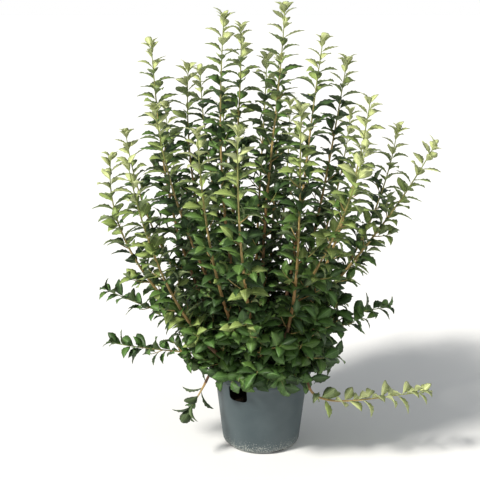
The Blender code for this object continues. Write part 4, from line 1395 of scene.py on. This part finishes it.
blades = bpy.data.collections.new("blades")
for index, (half_width, fold, bend) in enumerate(BLADES):
    blade = blade_mesh(index, half_width, fold, bend)
    bpy.context.scene.collection.objects.unlink(blade)
    blades.objects.link(blade)
collected = {kind: [] for kind in LEAF_COLOURS}
for index, shoot in enumerate(shoots):
    place_leaves(shoot, random.Random(LEAF_SEED + index), collected)
for kind, rows in collected.items():
    low, high, under = LEAF_COLOURS[kind]
    upper = leaf_finish("leaf_" + kind, low, high, UPPER_ROUGHNESS)
    low_under = tuple(UNDER_LOW_TONE * channel for channel in under)
    underside = leaf_finish("leaf_under_" + kind, low_under, under, UNDER_ROUGHNESS)
    leaves = leaf_piece("leaves_" + kind, rows, upper, underside, blades)
    masses = sorted({"foliage_" + row[5] for row in rows})
    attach(leaves, "root")
    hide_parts(*masses)
for blade in list(blades.objects):
    bpy.data.objects.remove(blade, do_unlink=True)
bpy.data.collections.remove(blades)

# Studio
# A pale floor, one large soft lamp from the upper left, a weaker one from the right and
# an even pale surround. The camera stands where the photograph was taken from.
FLOOR_SIZE = 60.0
FLOOR_WHITE = (0.86, 0.86, 0.86, 1.0)
LAMPS = (
    # name, strength, colour, spread in degrees, direction it stands in
    ("key", 4.0, (1.0, 0.965, 0.90), 11.0, (-0.85, -0.55, 1.05)),
    ("fill", 0.25, (0.92, 0.96, 1.0), 40.0, (0.9, -0.8, 0.7)),
)
LAMP_DISTANCE = 3
SURROUND = (0.95, 0.98, 1.0, 1.0)
SURROUND_STRENGTH = 0.42
BACKDROP = (1.0, 1.0, 1.0, 1.0)
CAMERA_PLACE = (-0.0588, -2.4, 1.2)
CAMERA_PITCH = 14.60
FOCAL_PIXELS = 930.9
FRAME_PIXELS = 480
SENSOR = 36.0

corners = [(x * FLOOR_SIZE, y * FLOOR_SIZE, 0) for x, y in ((-1, -1), (1, -1), (1, 1), (-1, 1))]
floor = mesh_object("studio_floor", corners, [(0, 1, 2, 3)], smooth=False)
floor_finish, _, shader = new_material("studio_floor", roughness=0.9, specular=0.1)
shader.inputs["Base Color"].default_value = FLOOR_WHITE
floor.data.materials.append(floor_finish)

for name, strength, colour, spread, towards in LAMPS:
    lamp = bpy.data.lights.new(name, "SUN")
    lamp.energy = strength
    lamp.color = colour
    lamp.angle = math.radians(spread)
    back = unit(np.array(towards))
    right = unit(np.cross([0, 0, 1], back))
    axes = np.stack([right, np.cross(back, right), back], axis=1)
    holder = new_object(name, lamp)
    holder.rotation_euler = Matrix(axes.tolist()).to_euler()
    holder.location = tuple(LAMP_DISTANCE * back)

world = bpy.data.worlds.new("surround")
world.use_nodes = True
sky = world.node_tree
light = sky.nodes["Background"]
light.inputs["Color"].default_value = SURROUND
light.inputs["Strength"].default_value = SURROUND_STRENGTH
backdrop = add_node(sky, "ShaderNodeBackground", {"Color": BACKDROP, "Strength": 1.0})
seen = add_node(sky, "ShaderNodeLightPath").outputs["Is Camera Ray"]
chosen = add_node(sky, "ShaderNodeMixShader",
                  {0: seen, 1: light.outputs[0], 2: backdrop.outputs[0]})
sky.links.new(chosen.outputs[0], sky.nodes["World Output"].inputs["Surface"])
bpy.context.scene.world = world
bpy.context.scene.view_settings.view_transform = "Standard"

camera_data = bpy.data.cameras.new("photo_view")
camera_data.sensor_width = SENSOR
camera_data.lens = SENSOR * FOCAL_PIXELS / FRAME_PIXELS
camera = new_object("photo_view", camera_data)
camera.location = CAMERA_PLACE
camera.rotation_euler = (math.radians(90 - CAMERA_PITCH), 0.0, 0.0)
bpy.context.scene.camera = camera
